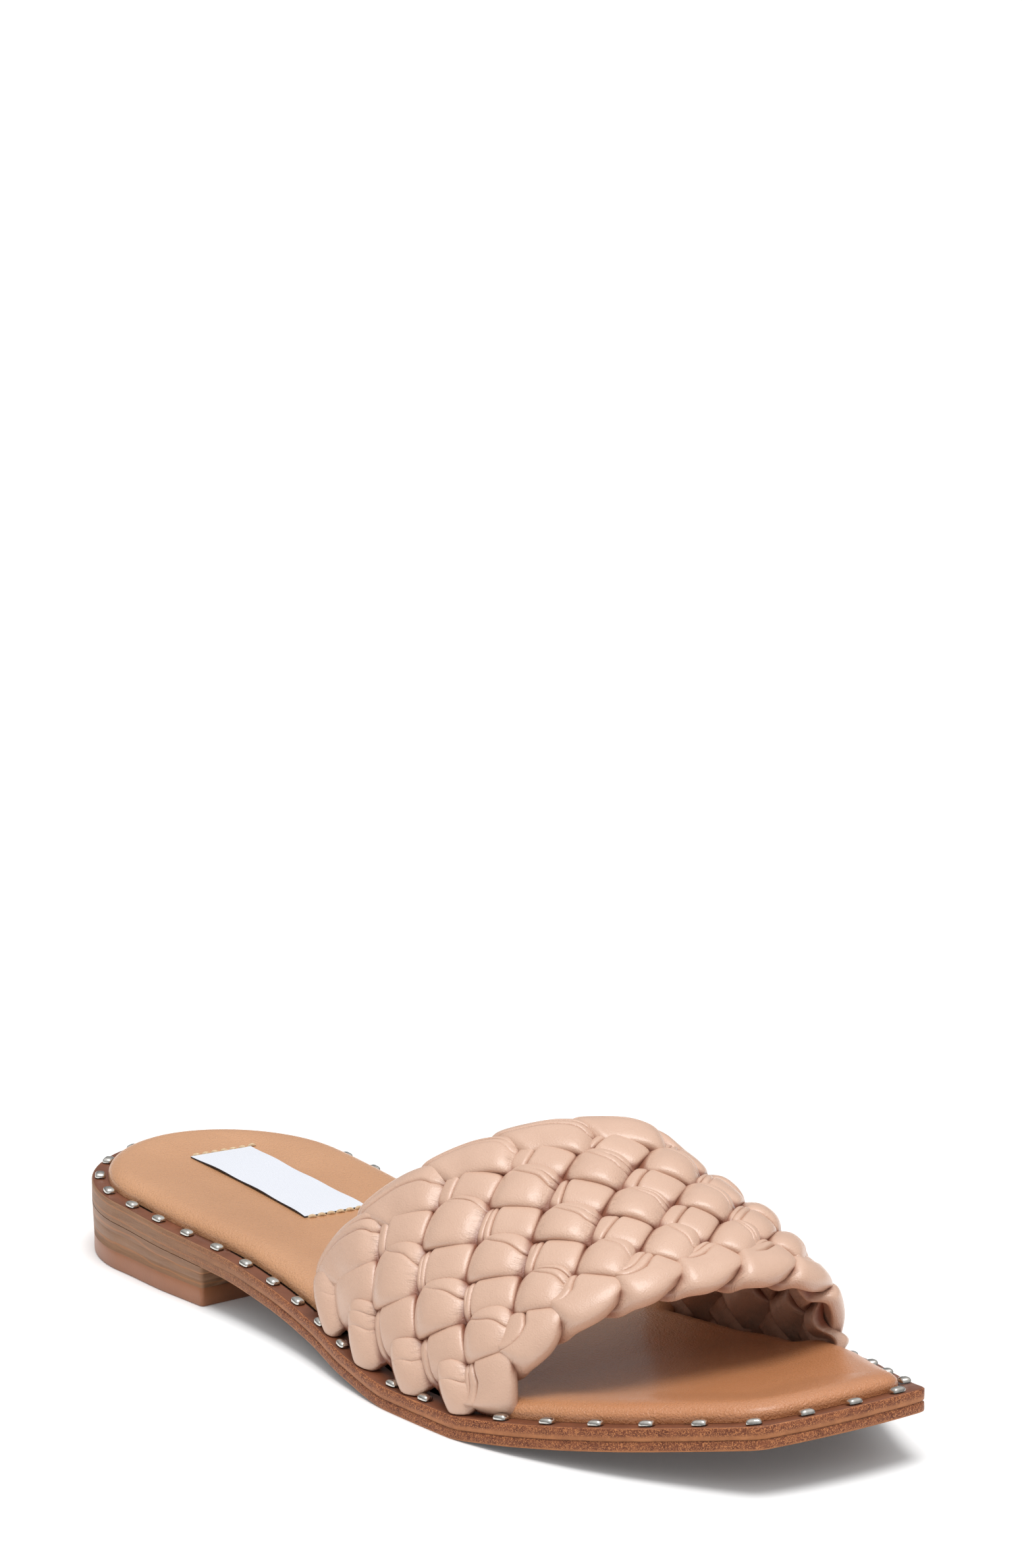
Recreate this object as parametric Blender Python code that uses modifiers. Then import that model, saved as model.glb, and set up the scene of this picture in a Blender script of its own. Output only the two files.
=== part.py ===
"""Woven slide sandal for the right foot: a thin studded sole on a low stacked heel, a padded footbed and
one wide braided strap. Metres, +Z up, +X to the toe, +Y to the medial (big toe) side. The sandal stands on
its heel and forefoot at z = 0."""

import math

import bmesh
import bpy
from mathutils import Vector

FIT_GAP = 0.0003

# Sole
LENGTH = 0.256
BALL_WIDTH = 0.0905
HEEL_RISE = 0.0131
TOE_SPRING = 0.0114
SOLE_THICKNESS = 0.0052
HEEL_ROUND_LENGTH = 0.036
HEEL_ROUNDNESS = 1.95
TOE_BULGE = 0.0018
TOE_CORNER = 0.0024
EDGE_GROOVE = 0.0006

# Heel
BREAST = 0.0716
HEEL_INSET = 0.0003
HEEL_TAPER = 0.0004
HEEL_CORNER = 0.0010
HEEL_LAYERS = 3
LAYER_GROOVE = 0.00025
LIFT_HEIGHT = 0.0045
LIFT_EDGE = 0.0005

# Footbed
FOOTBED_INSET = 0.0040
FOOTBED_THICKNESS = 0.0039
FOOTBED_EDGE = 0.0050
FOOTBED_CORNER = 0.0050

# Label
LABEL_LENGTH = 0.0515
LABEL_WIDTH = 0.0168
LABEL_THICKNESS = 0.0005
LABEL_FROM_HEEL = 0.0505
LABEL_FROM_AXIS = 0.0013
LABEL_TURN = math.radians(-4.3)

# Studs
STUD_COUNT = 49
STUD_RADIUS = 0.0014
STUD_HEIGHT = 0.0011
STUD_INSET = 0.0020
STUD_START = 0.0075

# Strap
STRAP_HEIGHT = 0.0480
STRAP_INSET = 0.0015
STRAP_WALL = 0.0075
STRAP_EDGE = 0.0036
STRAP_FOOT = 0.0036
STRAP_TUCK = 0.0024
STRAP_ROOM = 0.0014
STRIP_RISE = 0.0024
STRIP_RISE_INSIDE = 0.0014

# Braid: strips cross at every whole row and column whose sum is odd, and fold back at the strap's edges, which
# bulge by EDGE_SCALLOP of a row between the folds
BRAID_ROWS = 9
FOLD_ROW = 0.60
FOLD_REACH = 0.55
EDGE_ROW = 0.45
EDGE_SCALLOP = 0.30
BRAID_FIRST = -2.4
BRAID_LAST = 14.1
BRAID_STEPS = 3

# A row for each section of the sole, from the heel to the toe. Columns: share of LENGTH from the heel,
# lateral and medial half widths as shares of BALL_WIDTH, height as a share of HEEL_RISE and of TOE_SPRING.
SOLE_SECTIONS = (
    (0.000, 0.370, 0.368, 1.00, 0.00),
    (0.141, 0.379, 0.376, 0.87, 0.00),
    (0.223, 0.393, 0.362, 0.79, 0.00),
    (0.305, 0.393, 0.341, 0.70, 0.00),
    (0.383, 0.408, 0.346, 0.55, 0.00),
    (0.461, 0.442, 0.367, 0.36, 0.00),
    (0.539, 0.493, 0.401, 0.14, 0.00),
    (0.617, 0.526, 0.439, 0.00, 0.00),
    (0.700, 0.532, 0.468, 0.00, 0.00),
    (0.742, 0.516, 0.475, 0.00, 0.09),
    (0.801, 0.472, 0.452, 0.00, 0.26),
    (0.859, 0.414, 0.400, 0.00, 0.46),
    (0.918, 0.335, 0.318, 0.00, 0.68),
    (0.965, 0.264, 0.254, 0.00, 0.86),
    (1.000, 0.205, 0.216, 0.00, 1.00),
)
TOE_LATERAL = 0.977
TOE_MEDIAL = 0.992

# Side of the sole from its top edge down. Columns: share of EDGE_GROOVE drawn in, share of SOLE_THICKNESS.
SOLE_SIDE = (
    (1.0, 0.00),
    (0.0, 0.10),
    (0.0, 0.42),
    (0.8, 0.47),
    (0.8, 0.53),
    (0.0, 0.58),
    (0.0, 0.92),
    (1.0, 1.00),
)

# Padded edge of the footbed from its top down. Columns: share of FOOTBED_EDGE, share of FOOTBED_THICKNESS.
FOOTBED_SIDE = (
    (1.00, 1.00),
    (0.52, 0.96),
    (0.22, 0.82),
    (0.05, 0.59),
    (0.00, 0.33),
    (0.06, 0.08),
)

# Domed side of a stud from its tip down. Columns: share of STUD_RADIUS, share of STUD_HEIGHT.
STUD_SIDE = (
    (0.00, 1.00),
    (0.62, 0.80),
    (1.00, 0.30),
    (1.00, 0.00),
    (0.00, 0.00),
)

# A row for each section of the strap, from its heel edge to its toe edge. Columns: share of the strap's width,
# lateral and medial foot and forward bow as shares of LENGTH, height as a share of STRAP_HEIGHT, roundness of
# the lateral and medial shoulders, and lean to the medial side as a share of BALL_WIDTH.
STRAP_SECTIONS = (
    (0.0, 0.448, 0.590, 0.057, 1.00, 1.80, 3.20, 0.138),
    (0.5, 0.606, 0.713, 0.044, 0.84, 1.84, 3.10, 0.030),
    (1.0, 0.747, 0.824, 0.040, 0.59, 1.92, 2.70, -0.096),
)

LATERAL, MEDIAL = 0, 1

# How finely the curves are drawn, and the shares over which their slopes are measured
HEEL_STEPS, SIDE_STEPS, CORNER_STEPS, FRONT_STEPS = 8, 16, 4, 3
BREAST_STEPS = 4
LABEL_STEPS, LABEL_CROSS_STEPS = 8, 2
STUD_STEPS = 8
ARCH_STEPS = 48
FOOT_STEPS, TOE_FOOT_STEPS = 4, 3
FOLD_STEP = 0.25
CORNER_HALVINGS = 40
SOLE_SLOPE_SHARE = 0.005
STRAP_SLOPE_SHARE = 0.01
MERGE_DISTANCE = 0.00001

# Angles in degrees from which an edge is shaded sharp
BODY_CREASE, STUD_CREASE, STRAP_CREASE = 35, 60, 80


def read(rows, column, at):
    """A column's value at a share along the rows, on a smooth curve that never overshoots them."""
    xs = [row[0] for row in rows]
    ys = [row[column] for row in rows]
    at = min(max(at, xs[0]), xs[-1])
    i = max(k for k in range(len(xs) - 1) if xs[k] <= at)
    rises = [(ys[k + 1] - ys[k]) / (xs[k + 1] - xs[k]) for k in range(len(xs) - 1)]

    def slope(k):
        before = rises[max(k - 1, 0)]
        after = rises[min(k, len(rises) - 1)]
        return 0.0 if before * after <= 0 else 2 * before * after / (before + after)

    width = xs[i + 1] - xs[i]
    t = (at - xs[i]) / width
    ease = t * t * (3 - 2 * t)
    leave = t * (1 - t) ** 2 * width * slope(i)
    arrive = t * t * (t - 1) * width * slope(i + 1)
    return ys[i] * (1 - ease) + ys[i + 1] * ease + leave + arrive


def smooth(t):
    """Soft step from 0 to 1."""
    t = min(max(t, 0.0), 1.0)
    return t * t * (3 - 2 * t)


def half_width(side, x):
    return BALL_WIDTH * read(SOLE_SECTIONS, 1 + side, x / LENGTH)


def rim_height(x):
    """Height of the sole's top at x."""
    share = x / LENGTH
    lift = HEEL_RISE * read(SOLE_SECTIONS, 3, share) + TOE_SPRING * read(SOLE_SECTIONS, 4, share)
    return SOLE_THICKNESS + lift


def edge_width(side, x, inset):
    """Half width at x of the sole's outline drawn in by inset."""
    if x < HEEL_ROUND_LENGTH:
        back = min((HEEL_ROUND_LENGTH - x) / (HEEL_ROUND_LENGTH - inset), 1.0)
        share = (1 - back**HEEL_ROUNDNESS) ** (1 / HEEL_ROUNDNESS)
        return (half_width(side, HEEL_ROUND_LENGTH) - inset) * share
    step = LENGTH * SOLE_SLOPE_SHARE
    slope = (half_width(side, x + step) - half_width(side, x - step)) / (2 * step)
    return half_width(side, x) - inset * math.hypot(1, slope)


def on_side(side, x, width):
    return Vector((x, width if side == MEDIAL else -width))


def outline(inset, front, corner, bulge, side_steps, room=None):
    """Outline drawn in by inset and ended by a front edge through the sides at the two x in front. Starts at
    the back of the heel, runs along the lateral side, across the front and back along the medial side."""

    def place(side, x):
        more = room(side, x) if room else 0.0
        return on_side(side, x, edge_width(side, x, inset + more))

    start, end = (on_side(side, front[side], half_width(side, front[side])) for side in (LATERAL, MEDIAL))
    along = (end - start).normalized()
    inward = Vector((-along.y, along.x))
    corners = []
    for side in (LATERAL, MEDIAL):
        low, high = HEEL_ROUND_LENGTH, front[side] + bulge
        for _ in range(CORNER_HALVINGS):
            middle = (low + high) / 2
            if (place(side, middle) - start).dot(inward) > inset:
                low = middle
            else:
                high = middle
        corners.append(place(side, low))

    def front_point(share):
        out = inward * (-bulge * 4 * share * (1 - share))
        return corners[LATERAL].lerp(corners[MEDIAL], share) + out

    halves = []
    for side in (LATERAL, MEDIAL):
        points = []
        reach = HEEL_ROUND_LENGTH - inset
        for step in range(HEEL_STEPS):
            turn = math.pi / 2 * step / HEEL_STEPS
            points.append(place(side, HEEL_ROUND_LENGTH - reach * math.cos(turn) ** (2 / HEEL_ROUNDNESS)))
        stop = corners[side].x - corner
        for step in range(side_steps):
            share = step / side_steps
            points.append(place(side, HEEL_ROUND_LENGTH + (stop - HEEL_ROUND_LENGTH) * share))
        leave = place(side, stop)
        share = corner / (corners[MEDIAL] - corners[LATERAL]).length
        meet = front_point(share if side == LATERAL else 1 - share)
        for step in range(CORNER_STEPS):
            t = step / CORNER_STEPS
            points.append(leave * (1 - t) ** 2 + corners[side] * 2 * t * (1 - t) + meet * t * t)
        for step in range(FRONT_STEPS + 1):
            across = share + (0.5 - share) * step / FRONT_STEPS
            points.append(front_point(across if side == LATERAL else 1 - across))
        halves.append(points)
    return halves[LATERAL] + halves[MEDIAL][-2:0:-1]


def toe_outline(inset, corner=TOE_CORNER, room=None):
    front = (TOE_LATERAL * LENGTH, TOE_MEDIAL * LENGTH)
    return outline(inset, front, corner, TOE_BULGE, SIDE_STEPS, room)


def heel_outline(inset):
    return outline(inset, (BREAST, BREAST), HEEL_CORNER, 0.0, BREAST_STEPS)


def ring(points, height):
    """The outline's points lifted to a height that follows x."""
    return [Vector((p.x, p.y, height(p.x))) for p in points]


def material(name, colour, roughness, metallic=0.0):
    made = bpy.data.materials.new(name)
    made.use_nodes = True
    shader = made.node_tree.nodes["Principled BSDF"]
    shader.inputs["Base Color"].default_value = (*colour, 1.0)
    shader.inputs["Roughness"].default_value = roughness
    shader.inputs["Metallic"].default_value = metallic
    return made


def add_object(name, mesh, look, parent, crease=BODY_CREASE):
    made = bpy.data.objects.new(name, mesh)
    parts.objects.link(made)
    made.parent = parent
    if look.name not in mesh.materials:
        mesh.materials.append(look)
    mesh.shade_smooth()
    mesh.set_sharp_from_angle(angle=math.radians(crease))
    return made


def finish(name, build):
    """The built form as a mesh whose faces point outwards."""
    bmesh.ops.recalc_face_normals(build, faces=build.faces)
    mesh = bpy.data.meshes.new(name)
    build.to_mesh(mesh)
    build.free()
    return mesh


def loft(name, rings):
    """Closed body through rings of equally many points, its ends closed from side to side."""
    build = bmesh.new()
    loops = [[build.verts.new(point) for point in points] for points in rings]
    count = len(loops[0])
    for low, high in zip(loops, loops[1:]):
        for i in range(count):
            j = (i + 1) % count
            build.faces.new((low[i], low[j], high[j], high[i]))
    for loop in (loops[0], loops[-1]):
        build.faces.new((loop[0], loop[1], loop[-1]))
        for i in range(1, count // 2 - 1):
            build.faces.new((loop[i], loop[i + 1], loop[-i - 1], loop[-i]))
        middle = count // 2
        build.faces.new((loop[middle - 1], loop[middle], loop[middle + 1]))
    return finish(name, build)


def make_outsole(parent):
    rings = []
    for drawn_in, depth in SOLE_SIDE:
        points = toe_outline(EDGE_GROOVE * drawn_in)
        rings.append(ring(points, lambda x, d=depth: rim_height(x) - SOLE_THICKNESS * d))
    look = material("speckled_edge_leather", (0.27, 0.10, 0.045), 0.45)
    return add_object("outsole", loft("outsole", rings), look, parent)


def make_heel_block(parent):
    def level(share):
        def height(x):
            top = rim_height(x) - SOLE_THICKNESS - FIT_GAP
            foot = LIFT_HEIGHT + FIT_GAP
            return top + (foot - top) * share

        return height

    steps = [(0.0, 0.0)]
    for layer in range(1, HEEL_LAYERS):
        seam = layer / HEEL_LAYERS
        groove = LAYER_GROOVE / (HEEL_RISE - LIFT_HEIGHT)
        steps += [(0.0, seam - groove), (1.0, seam), (0.0, seam + groove)]
    steps.append((0.0, 1.0))
    rings = []
    for drawn_in, share in steps:
        inset = HEEL_INSET + HEEL_TAPER * share + LAYER_GROOVE * drawn_in
        rings.append(ring(heel_outline(inset), level(share)))
    look = material("stacked_heel", (0.22, 0.12, 0.065), 0.5)
    return add_object("heel_block", loft("heel_block", rings), look, parent)


def make_heel_lift(parent):
    inset = HEEL_INSET + HEEL_TAPER
    rings = []
    for drawn_in, height in ((0.0, LIFT_HEIGHT), (0.0, LIFT_EDGE), (LIFT_EDGE, 0.0)):
        rings.append(ring(heel_outline(inset + drawn_in), lambda x, z=height: z))
    look = material("heel_lift_rubber", (0.30, 0.13, 0.065), 0.5)
    return add_object("heel_lift", loft("heel_lift", rings), look, parent)


def strap_room(side, x):
    """Extra room that the footbed leaves between its side and the rim where the strap's feet stand."""
    depth = STRAP_INSET + STRAP_TUCK + STRAP_FOOT + STRAP_ROOM - FOOTBED_INSET
    start, end = (row[1 + side] * LENGTH for row in (STRAP_SECTIONS[0], STRAP_SECTIONS[-1]))
    before, after = x - start + STRAP_FOOT, end + STRAP_FOOT - x
    return depth * smooth(before / STRAP_WALL + 1) * smooth(after / STRAP_WALL + 1)


def footbed_top(x):
    return rim_height(x) + FOOTBED_THICKNESS


def make_footbed(parent):
    rings = []
    for drawn_in, rise in FOOTBED_SIDE:
        points = toe_outline(FOOTBED_INSET + FOOTBED_EDGE * drawn_in, FOOTBED_CORNER, strap_room)
        rings.append(ring(points, lambda x, r=rise: rim_height(x) + FOOTBED_THICKNESS * r))
    look = material("tan_footbed_leather", (0.56, 0.32, 0.19), 0.42)
    return add_object("footbed", loft("footbed", rings), look, parent)


def make_label(parent):
    build = bmesh.new()
    bmesh.ops.create_grid(build, x_segments=LABEL_STEPS, y_segments=LABEL_CROSS_STEPS, size=1.0)
    for vertex in build.verts:
        along = vertex.co.x * LABEL_LENGTH / 2
        across = vertex.co.y * LABEL_WIDTH / 2
        x = LABEL_FROM_HEEL + along * math.cos(LABEL_TURN) - across * math.sin(LABEL_TURN)
        y = LABEL_FROM_AXIS + along * math.sin(LABEL_TURN) + across * math.cos(LABEL_TURN)
        vertex.co = Vector((x, y, footbed_top(x) + FIT_GAP))
    mesh = bpy.data.meshes.new("label")
    build.to_mesh(mesh)
    build.free()
    made = add_object("label", mesh, material("white_woven_label", (0.86, 0.87, 0.91), 0.7), parent)
    thicken = made.modifiers.new("thickness", "SOLIDIFY")
    thicken.thickness = LABEL_THICKNESS
    thicken.offset = 1.0
    return made


def stud_mesh():
    """Half profile of a domed stud, turned by the screw modifier on each stud."""
    mesh = bpy.data.meshes.new("stud")
    points = [(STUD_RADIUS * out, 0.0, STUD_HEIGHT * up) for out, up in STUD_SIDE]
    mesh.from_pydata(points, [(i, i + 1) for i in range(len(points) - 1)], [])
    return mesh


def make_studs(parent):
    """Studs evenly spaced round the rim, each square to the rim's slope."""
    line = [Vector((p.x, p.y, rim_height(p.x))) for p in toe_outline(STUD_INSET)]
    line.append(line[0])
    lengths = [(b - a).length for a, b in zip(line, line[1:])]
    total = sum(lengths)
    mesh = stud_mesh()
    look = material("nickel_stud", (0.72, 0.70, 0.67), 0.22, 1.0)
    for number in range(STUD_COUNT):
        left = (STUD_START + total * number / STUD_COUNT) % total
        i = 0
        while left > lengths[i]:
            left -= lengths[i]
            i += 1
        place = line[i].lerp(line[i + 1], left / lengths[i])
        step = LENGTH * SOLE_SLOPE_SHARE
        slope = (rim_height(place.x + step) - rim_height(place.x - step)) / (2 * step)
        stud = add_object("stud_%02d" % (number + 1), mesh, look, parent, crease=STUD_CREASE)
        stud.location = place + Vector((-slope, 0.0, 1.0)).normalized() * FIT_GAP
        stud.rotation_euler = (0.0, -math.atan(slope), 0.0)
        turn = stud.modifiers.new("turn", "SCREW")
        turn.steps = STUD_STEPS
        turn.render_steps = STUD_STEPS
        turn.use_merge_vertices = True
        turn.merge_threshold = MERGE_DISTANCE
        turn.use_smooth_shade = True


def strap_arch(across):
    """Outer face of the strap from its lateral foot to its medial foot, at a share of the strap's width,
    with the length run so far at each point."""
    feet = [LENGTH * read(STRAP_SECTIONS, column, across) for column in (1, 2)]
    bow = LENGTH * read(STRAP_SECTIONS, 3, across)
    height = STRAP_HEIGHT * read(STRAP_SECTIONS, 4, across)
    shoulders = [read(STRAP_SECTIONS, column, across) for column in (5, 6)]
    ends = [on_side(side, feet[side], half_width(side, feet[side]) - STRAP_INSET) for side in (LATERAL, MEDIAL)]
    middle = (ends[LATERAL].y + ends[MEDIAL].y) / 2 + BALL_WIDTH * read(STRAP_SECTIONS, 7, across)
    points = []
    for step in range(ARCH_STEPS + 1):
        turn = math.pi * step / ARCH_STEPS
        side = LATERAL if turn < math.pi / 2 else MEDIAL
        power = 2 / shoulders[side]
        out = abs(math.cos(turn)) ** power
        y = middle + (ends[side].y - middle) * out
        share = (y - ends[LATERAL].y) / (ends[MEDIAL].y - ends[LATERAL].y)
        up = math.sin(turn) ** power if 0 < step < ARCH_STEPS else 0.0
        x = feet[LATERAL] + (feet[MEDIAL] - feet[LATERAL]) * share + bow * up**2
        base = rim_height(feet[LATERAL]) * (1 - share) + rim_height(feet[MEDIAL]) * share
        points.append(Vector((x, y, base + height * up)))
    run = [0.0]
    for a, b in zip(points, points[1:]):
        run.append(run[-1] + (b - a).length)
    return points, run


def strap_point(across, along):
    """Point on the strap's outer face at shares of its width and of its length."""
    points, run = strap_arch(across)
    at = min(max(along, 0.0), 1.0) * run[-1]
    i = max(k for k in range(ARCH_STEPS) if run[k] <= at)
    return points[i].lerp(points[i + 1], (at - run[i]) / (run[i + 1] - run[i]))


def strap_normal(across, along):
    step = STRAP_SLOPE_SHARE
    low, high = max(along - step, 0.0), min(along + step, 1.0)
    lengthwise = strap_point(across, high) - strap_point(across, low)
    low, high = max(across - step, 0.0), min(across + step, 1.0)
    widthwise = strap_point(high, along) - strap_point(low, along)
    return widthwise.cross(lengthwise).normalized()


def crossing(row, column):
    """Nearest crossing of two strips, and the shares of a strip's width away from it along each strip."""
    best = None
    for k in (math.floor(row), math.floor(row) + 1):
        for u in (math.floor(column), math.floor(column) + 1):
            if (k + u) % 2 and 0 <= k <= BRAID_ROWS:
                down, side = row - k, column - u
                near = abs(down) + abs(side)
                if best is None or near < best[0]:
                    best = (near, k, (down - side) / 2, (down + side) / 2, down, side)
    return best


def pillow(across, along):
    """Puffed height of a strip, 1 at its middle and 0 at its sides and where it dives under."""
    roll = math.sqrt(max(0.0, 1 - (2 * across) ** 2))
    dive = max(0.0, 1 - (2 * abs(along)) ** 3)
    return roll * math.sqrt(dive)


def weave(row, column):
    """Height shares of the strips on the outer and on the inner face."""
    found = crossing(row, column)
    if found is None:
        return 0.0, 0.0
    _, k, first, second, down, side = found
    if k in (0, BRAID_ROWS):
        away = (abs(down) - FOLD_ROW) / FOLD_REACH
        fold = math.sqrt(max(0.0, 1 - away * away)) * max(0.0, 1 - abs(side) ** 3)
        return fold, fold
    over, under = pillow(second, first), pillow(first, second)
    return (over, under) if k % 2 == 0 else (under, over)


def braid_columns():
    """Braid columns at which the strap has points, from foot to foot."""
    first, last = math.ceil(BRAID_FIRST) + 1 / BRAID_STEPS, math.floor(BRAID_LAST) - 1
    columns = [BRAID_FIRST + (first - BRAID_FIRST) * i / FOOT_STEPS for i in range(FOOT_STEPS)]
    count = round((last - first) * BRAID_STEPS)
    columns += [first + i / BRAID_STEPS for i in range(count)]
    columns += [last + (BRAID_LAST - last) * i / TOE_FOOT_STEPS for i in range(TOE_FOOT_STEPS + 1)]
    return columns


def scalloped(row, column):
    """Braid row where the heel edge (row 0) or the toe edge runs: out between the folds, in at them."""
    fold = math.sin(math.pi / 2 * column) if row == 0 else math.cos(math.pi / 2 * column)
    bulge = EDGE_SCALLOP * (0.5 - abs(fold))
    return EDGE_ROW - bulge if row == 0 else BRAID_ROWS - EDGE_ROW + bulge


def make_upper(parent):
    """One arched wall with its woven strips raised on both faces and its two edges scalloped."""
    columns = braid_columns()
    middle_rows = [i / BRAID_STEPS for i in range(BRAID_STEPS, (BRAID_ROWS - 1) * BRAID_STEPS + 1)]
    rows = [0.0, 1 - FOLD_STEP] + middle_rows + [BRAID_ROWS - 1 + FOLD_STEP, float(BRAID_ROWS)]
    width = BRAID_ROWS - 2 * EDGE_ROW
    foot_share = 1.0 / (BRAID_LAST - BRAID_FIRST)
    build = bmesh.new()
    outer, inner = [], []
    for row in rows:
        edge = row in (0, BRAID_ROWS)
        outer.append([])
        inner.append([])
        for column in columns:
            k = scalloped(row, column) if edge else row
            across = (k - EDGE_ROW) / width
            along = (column - BRAID_FIRST) / (BRAID_LAST - BRAID_FIRST)
            inside = min(max(across, 0.0), 1.0)
            beyond = across - inside
            place = strap_point(inside, along)
            if beyond:
                step = math.copysign(1 / width, beyond)
                away = place - strap_point(inside - step, along)
                place = place + away * (beyond / step)
            normal = strap_normal(inside, along)
            over, under = weave(k, column)
            grown = smooth(min(along, 1 - along) / foot_share)
            top = STRAP_TUCK * (1 - grown) + STRIP_RISE * (1 - over) * grown
            foot = STRAP_TUCK + STRAP_FOOT
            bottom = foot + (STRAP_WALL - STRIP_RISE_INSIDE * (1 - under) - foot) * grown
            if edge:
                middle = (top + bottom) / 2
                top = max(top, middle - STRAP_EDGE / 2)
                bottom = min(bottom, middle + STRAP_EDGE / 2)
            for face, depth in ((outer, top), (inner, bottom)):
                point = place - normal * depth
                if along in (0.0, 1.0):
                    point.z = rim_height(point.x) + FIT_GAP
                face[-1].append(build.verts.new(point))
    last_row, last_column = len(rows) - 1, len(columns) - 1
    for i in range(last_row):
        for j in range(last_column):
            build.faces.new((outer[i][j], outer[i + 1][j], outer[i + 1][j + 1], outer[i][j + 1]))
            build.faces.new((inner[i][j], inner[i][j + 1], inner[i + 1][j + 1], inner[i + 1][j]))
    for j in range(last_column):
        build.faces.new((outer[0][j], outer[0][j + 1], inner[0][j + 1], inner[0][j]))
        build.faces.new((outer[-1][j], inner[-1][j], inner[-1][j + 1], outer[-1][j + 1]))
    for i in range(last_row):
        build.faces.new((outer[i][0], inner[i][0], inner[i + 1][0], outer[i + 1][0]))
        build.faces.new((outer[i][-1], outer[i + 1][-1], inner[i + 1][-1], inner[i][-1]))
    look = material("blush_braided_leather", (0.71, 0.43, 0.33), 0.42)
    return add_object("upper", finish("upper", build), look, parent, crease=STRAP_CREASE)


def centre_on_origin(frame):
    """Puts the middle of the sandal's footprint at the origin."""
    bpy.context.view_layer.update()
    graph = bpy.context.evaluated_depsgraph_get()
    corners = []
    for made in parts.objects:
        if made.type == "MESH":
            shown = made.evaluated_get(graph)
            corners += [shown.matrix_world @ Vector(corner) for corner in shown.bound_box]
    for axis in (0, 1):
        values = [corner[axis] for corner in corners]
        frame.location[axis] = -(min(values) + max(values)) / 2


for old in list(bpy.data.objects):
    bpy.data.objects.remove(old, do_unlink=True)
parts = bpy.data.collections.new("slide_sandal")
bpy.context.scene.collection.children.link(parts)
sandal = bpy.data.objects.new("slide_sandal", None)
parts.objects.link(sandal)
make_outsole(sandal)
make_heel_block(sandal)
make_heel_lift(sandal)
make_footbed(sandal)
make_label(sandal)
make_studs(sandal)
make_upper(sandal)
centre_on_origin(sandal)
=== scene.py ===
"""Looks of the woven slide sandal: nine padded leather strands, a padded footbed with its cloth label, a
studded sole with a speckled edge and a stacked heel, on a pale floor in soft studio light."""

import math

import bpy
import numpy as np
from mathutils import Matrix, Vector, noise


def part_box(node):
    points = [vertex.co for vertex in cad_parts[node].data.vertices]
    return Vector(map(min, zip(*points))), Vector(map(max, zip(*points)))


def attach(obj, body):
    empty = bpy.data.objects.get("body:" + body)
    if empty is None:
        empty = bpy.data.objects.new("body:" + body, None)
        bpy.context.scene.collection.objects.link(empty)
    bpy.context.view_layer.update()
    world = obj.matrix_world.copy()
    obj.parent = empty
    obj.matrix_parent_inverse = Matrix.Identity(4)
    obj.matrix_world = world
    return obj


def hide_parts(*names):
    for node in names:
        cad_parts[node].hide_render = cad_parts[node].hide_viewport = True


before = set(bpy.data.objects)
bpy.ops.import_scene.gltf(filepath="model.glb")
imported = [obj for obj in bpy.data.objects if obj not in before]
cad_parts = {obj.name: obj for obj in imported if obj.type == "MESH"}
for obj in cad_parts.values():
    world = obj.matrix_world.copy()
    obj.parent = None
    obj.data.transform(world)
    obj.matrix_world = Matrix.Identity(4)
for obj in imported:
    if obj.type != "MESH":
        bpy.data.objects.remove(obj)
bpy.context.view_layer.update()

# Lengths are in metres. FIT_GAP is the room that the solid model leaves between its pieces.
FIT_GAP = 0.0003

# Sole, as in the solid model: x from the back of the heel, y from the sole's axis
HEEL_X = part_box("outsole")[0].x
AXIS_Y = 0.00275
LENGTH = 0.256
BALL_WIDTH = 0.0905
HEEL_RISE = 0.0131
TOE_SPRING = 0.0114
SOLE_THICKNESS = 0.0052
HEEL_ROUND_LENGTH = 0.036
HEEL_ROUNDNESS = 1.95
TOE_BULGE = 0.0018
TOE_CORNER = 0.0024
TOE_LATERAL = 0.977
TOE_MEDIAL = 0.992
GROOVE_FROM, GROOVE_TO = 0.45, 0.65
GROOVE_FADE = 0.030
BREAST = 0.0716
HEEL_TAPER = 0.0004
HEEL_CORNER = 0.0010
LIFT_HEIGHT = 0.0045
FOOTBED_INSET = 0.0040
FOOTBED_THICKNESS = 0.0039
FOOTBED_EDGE = 0.0050
FOOTBED_CORNER = 0.0050
FOOTBED_DISH = 0.0009
FOOTBED_SLOPE = 0.013
FOOTBED_LEDGE = 0.001
FOOTBED_BACK = 0.8
FOOTBED_COLUMNS = 60

# Columns: share of LENGTH from the heel, lateral and medial half widths as shares of BALL_WIDTH, height as
# shares of HEEL_RISE and of TOE_SPRING
SOLE_SECTIONS = (
    (0.000, 0.370, 0.368, 1.00, 0.00),
    (0.141, 0.379, 0.376, 0.87, 0.00),
    (0.223, 0.393, 0.362, 0.79, 0.00),
    (0.305, 0.393, 0.341, 0.70, 0.00),
    (0.383, 0.408, 0.346, 0.55, 0.00),
    (0.461, 0.442, 0.367, 0.36, 0.00),
    (0.539, 0.493, 0.401, 0.14, 0.00),
    (0.617, 0.526, 0.439, 0.00, 0.00),
    (0.700, 0.532, 0.468, 0.00, 0.00),
    (0.742, 0.516, 0.475, 0.00, 0.09),
    (0.801, 0.472, 0.452, 0.00, 0.26),
    (0.859, 0.414, 0.400, 0.00, 0.46),
    (0.918, 0.335, 0.318, 0.00, 0.68),
    (0.965, 0.264, 0.254, 0.00, 0.86),
    (1.000, 0.205, 0.216, 0.00, 1.00),
)

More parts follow.
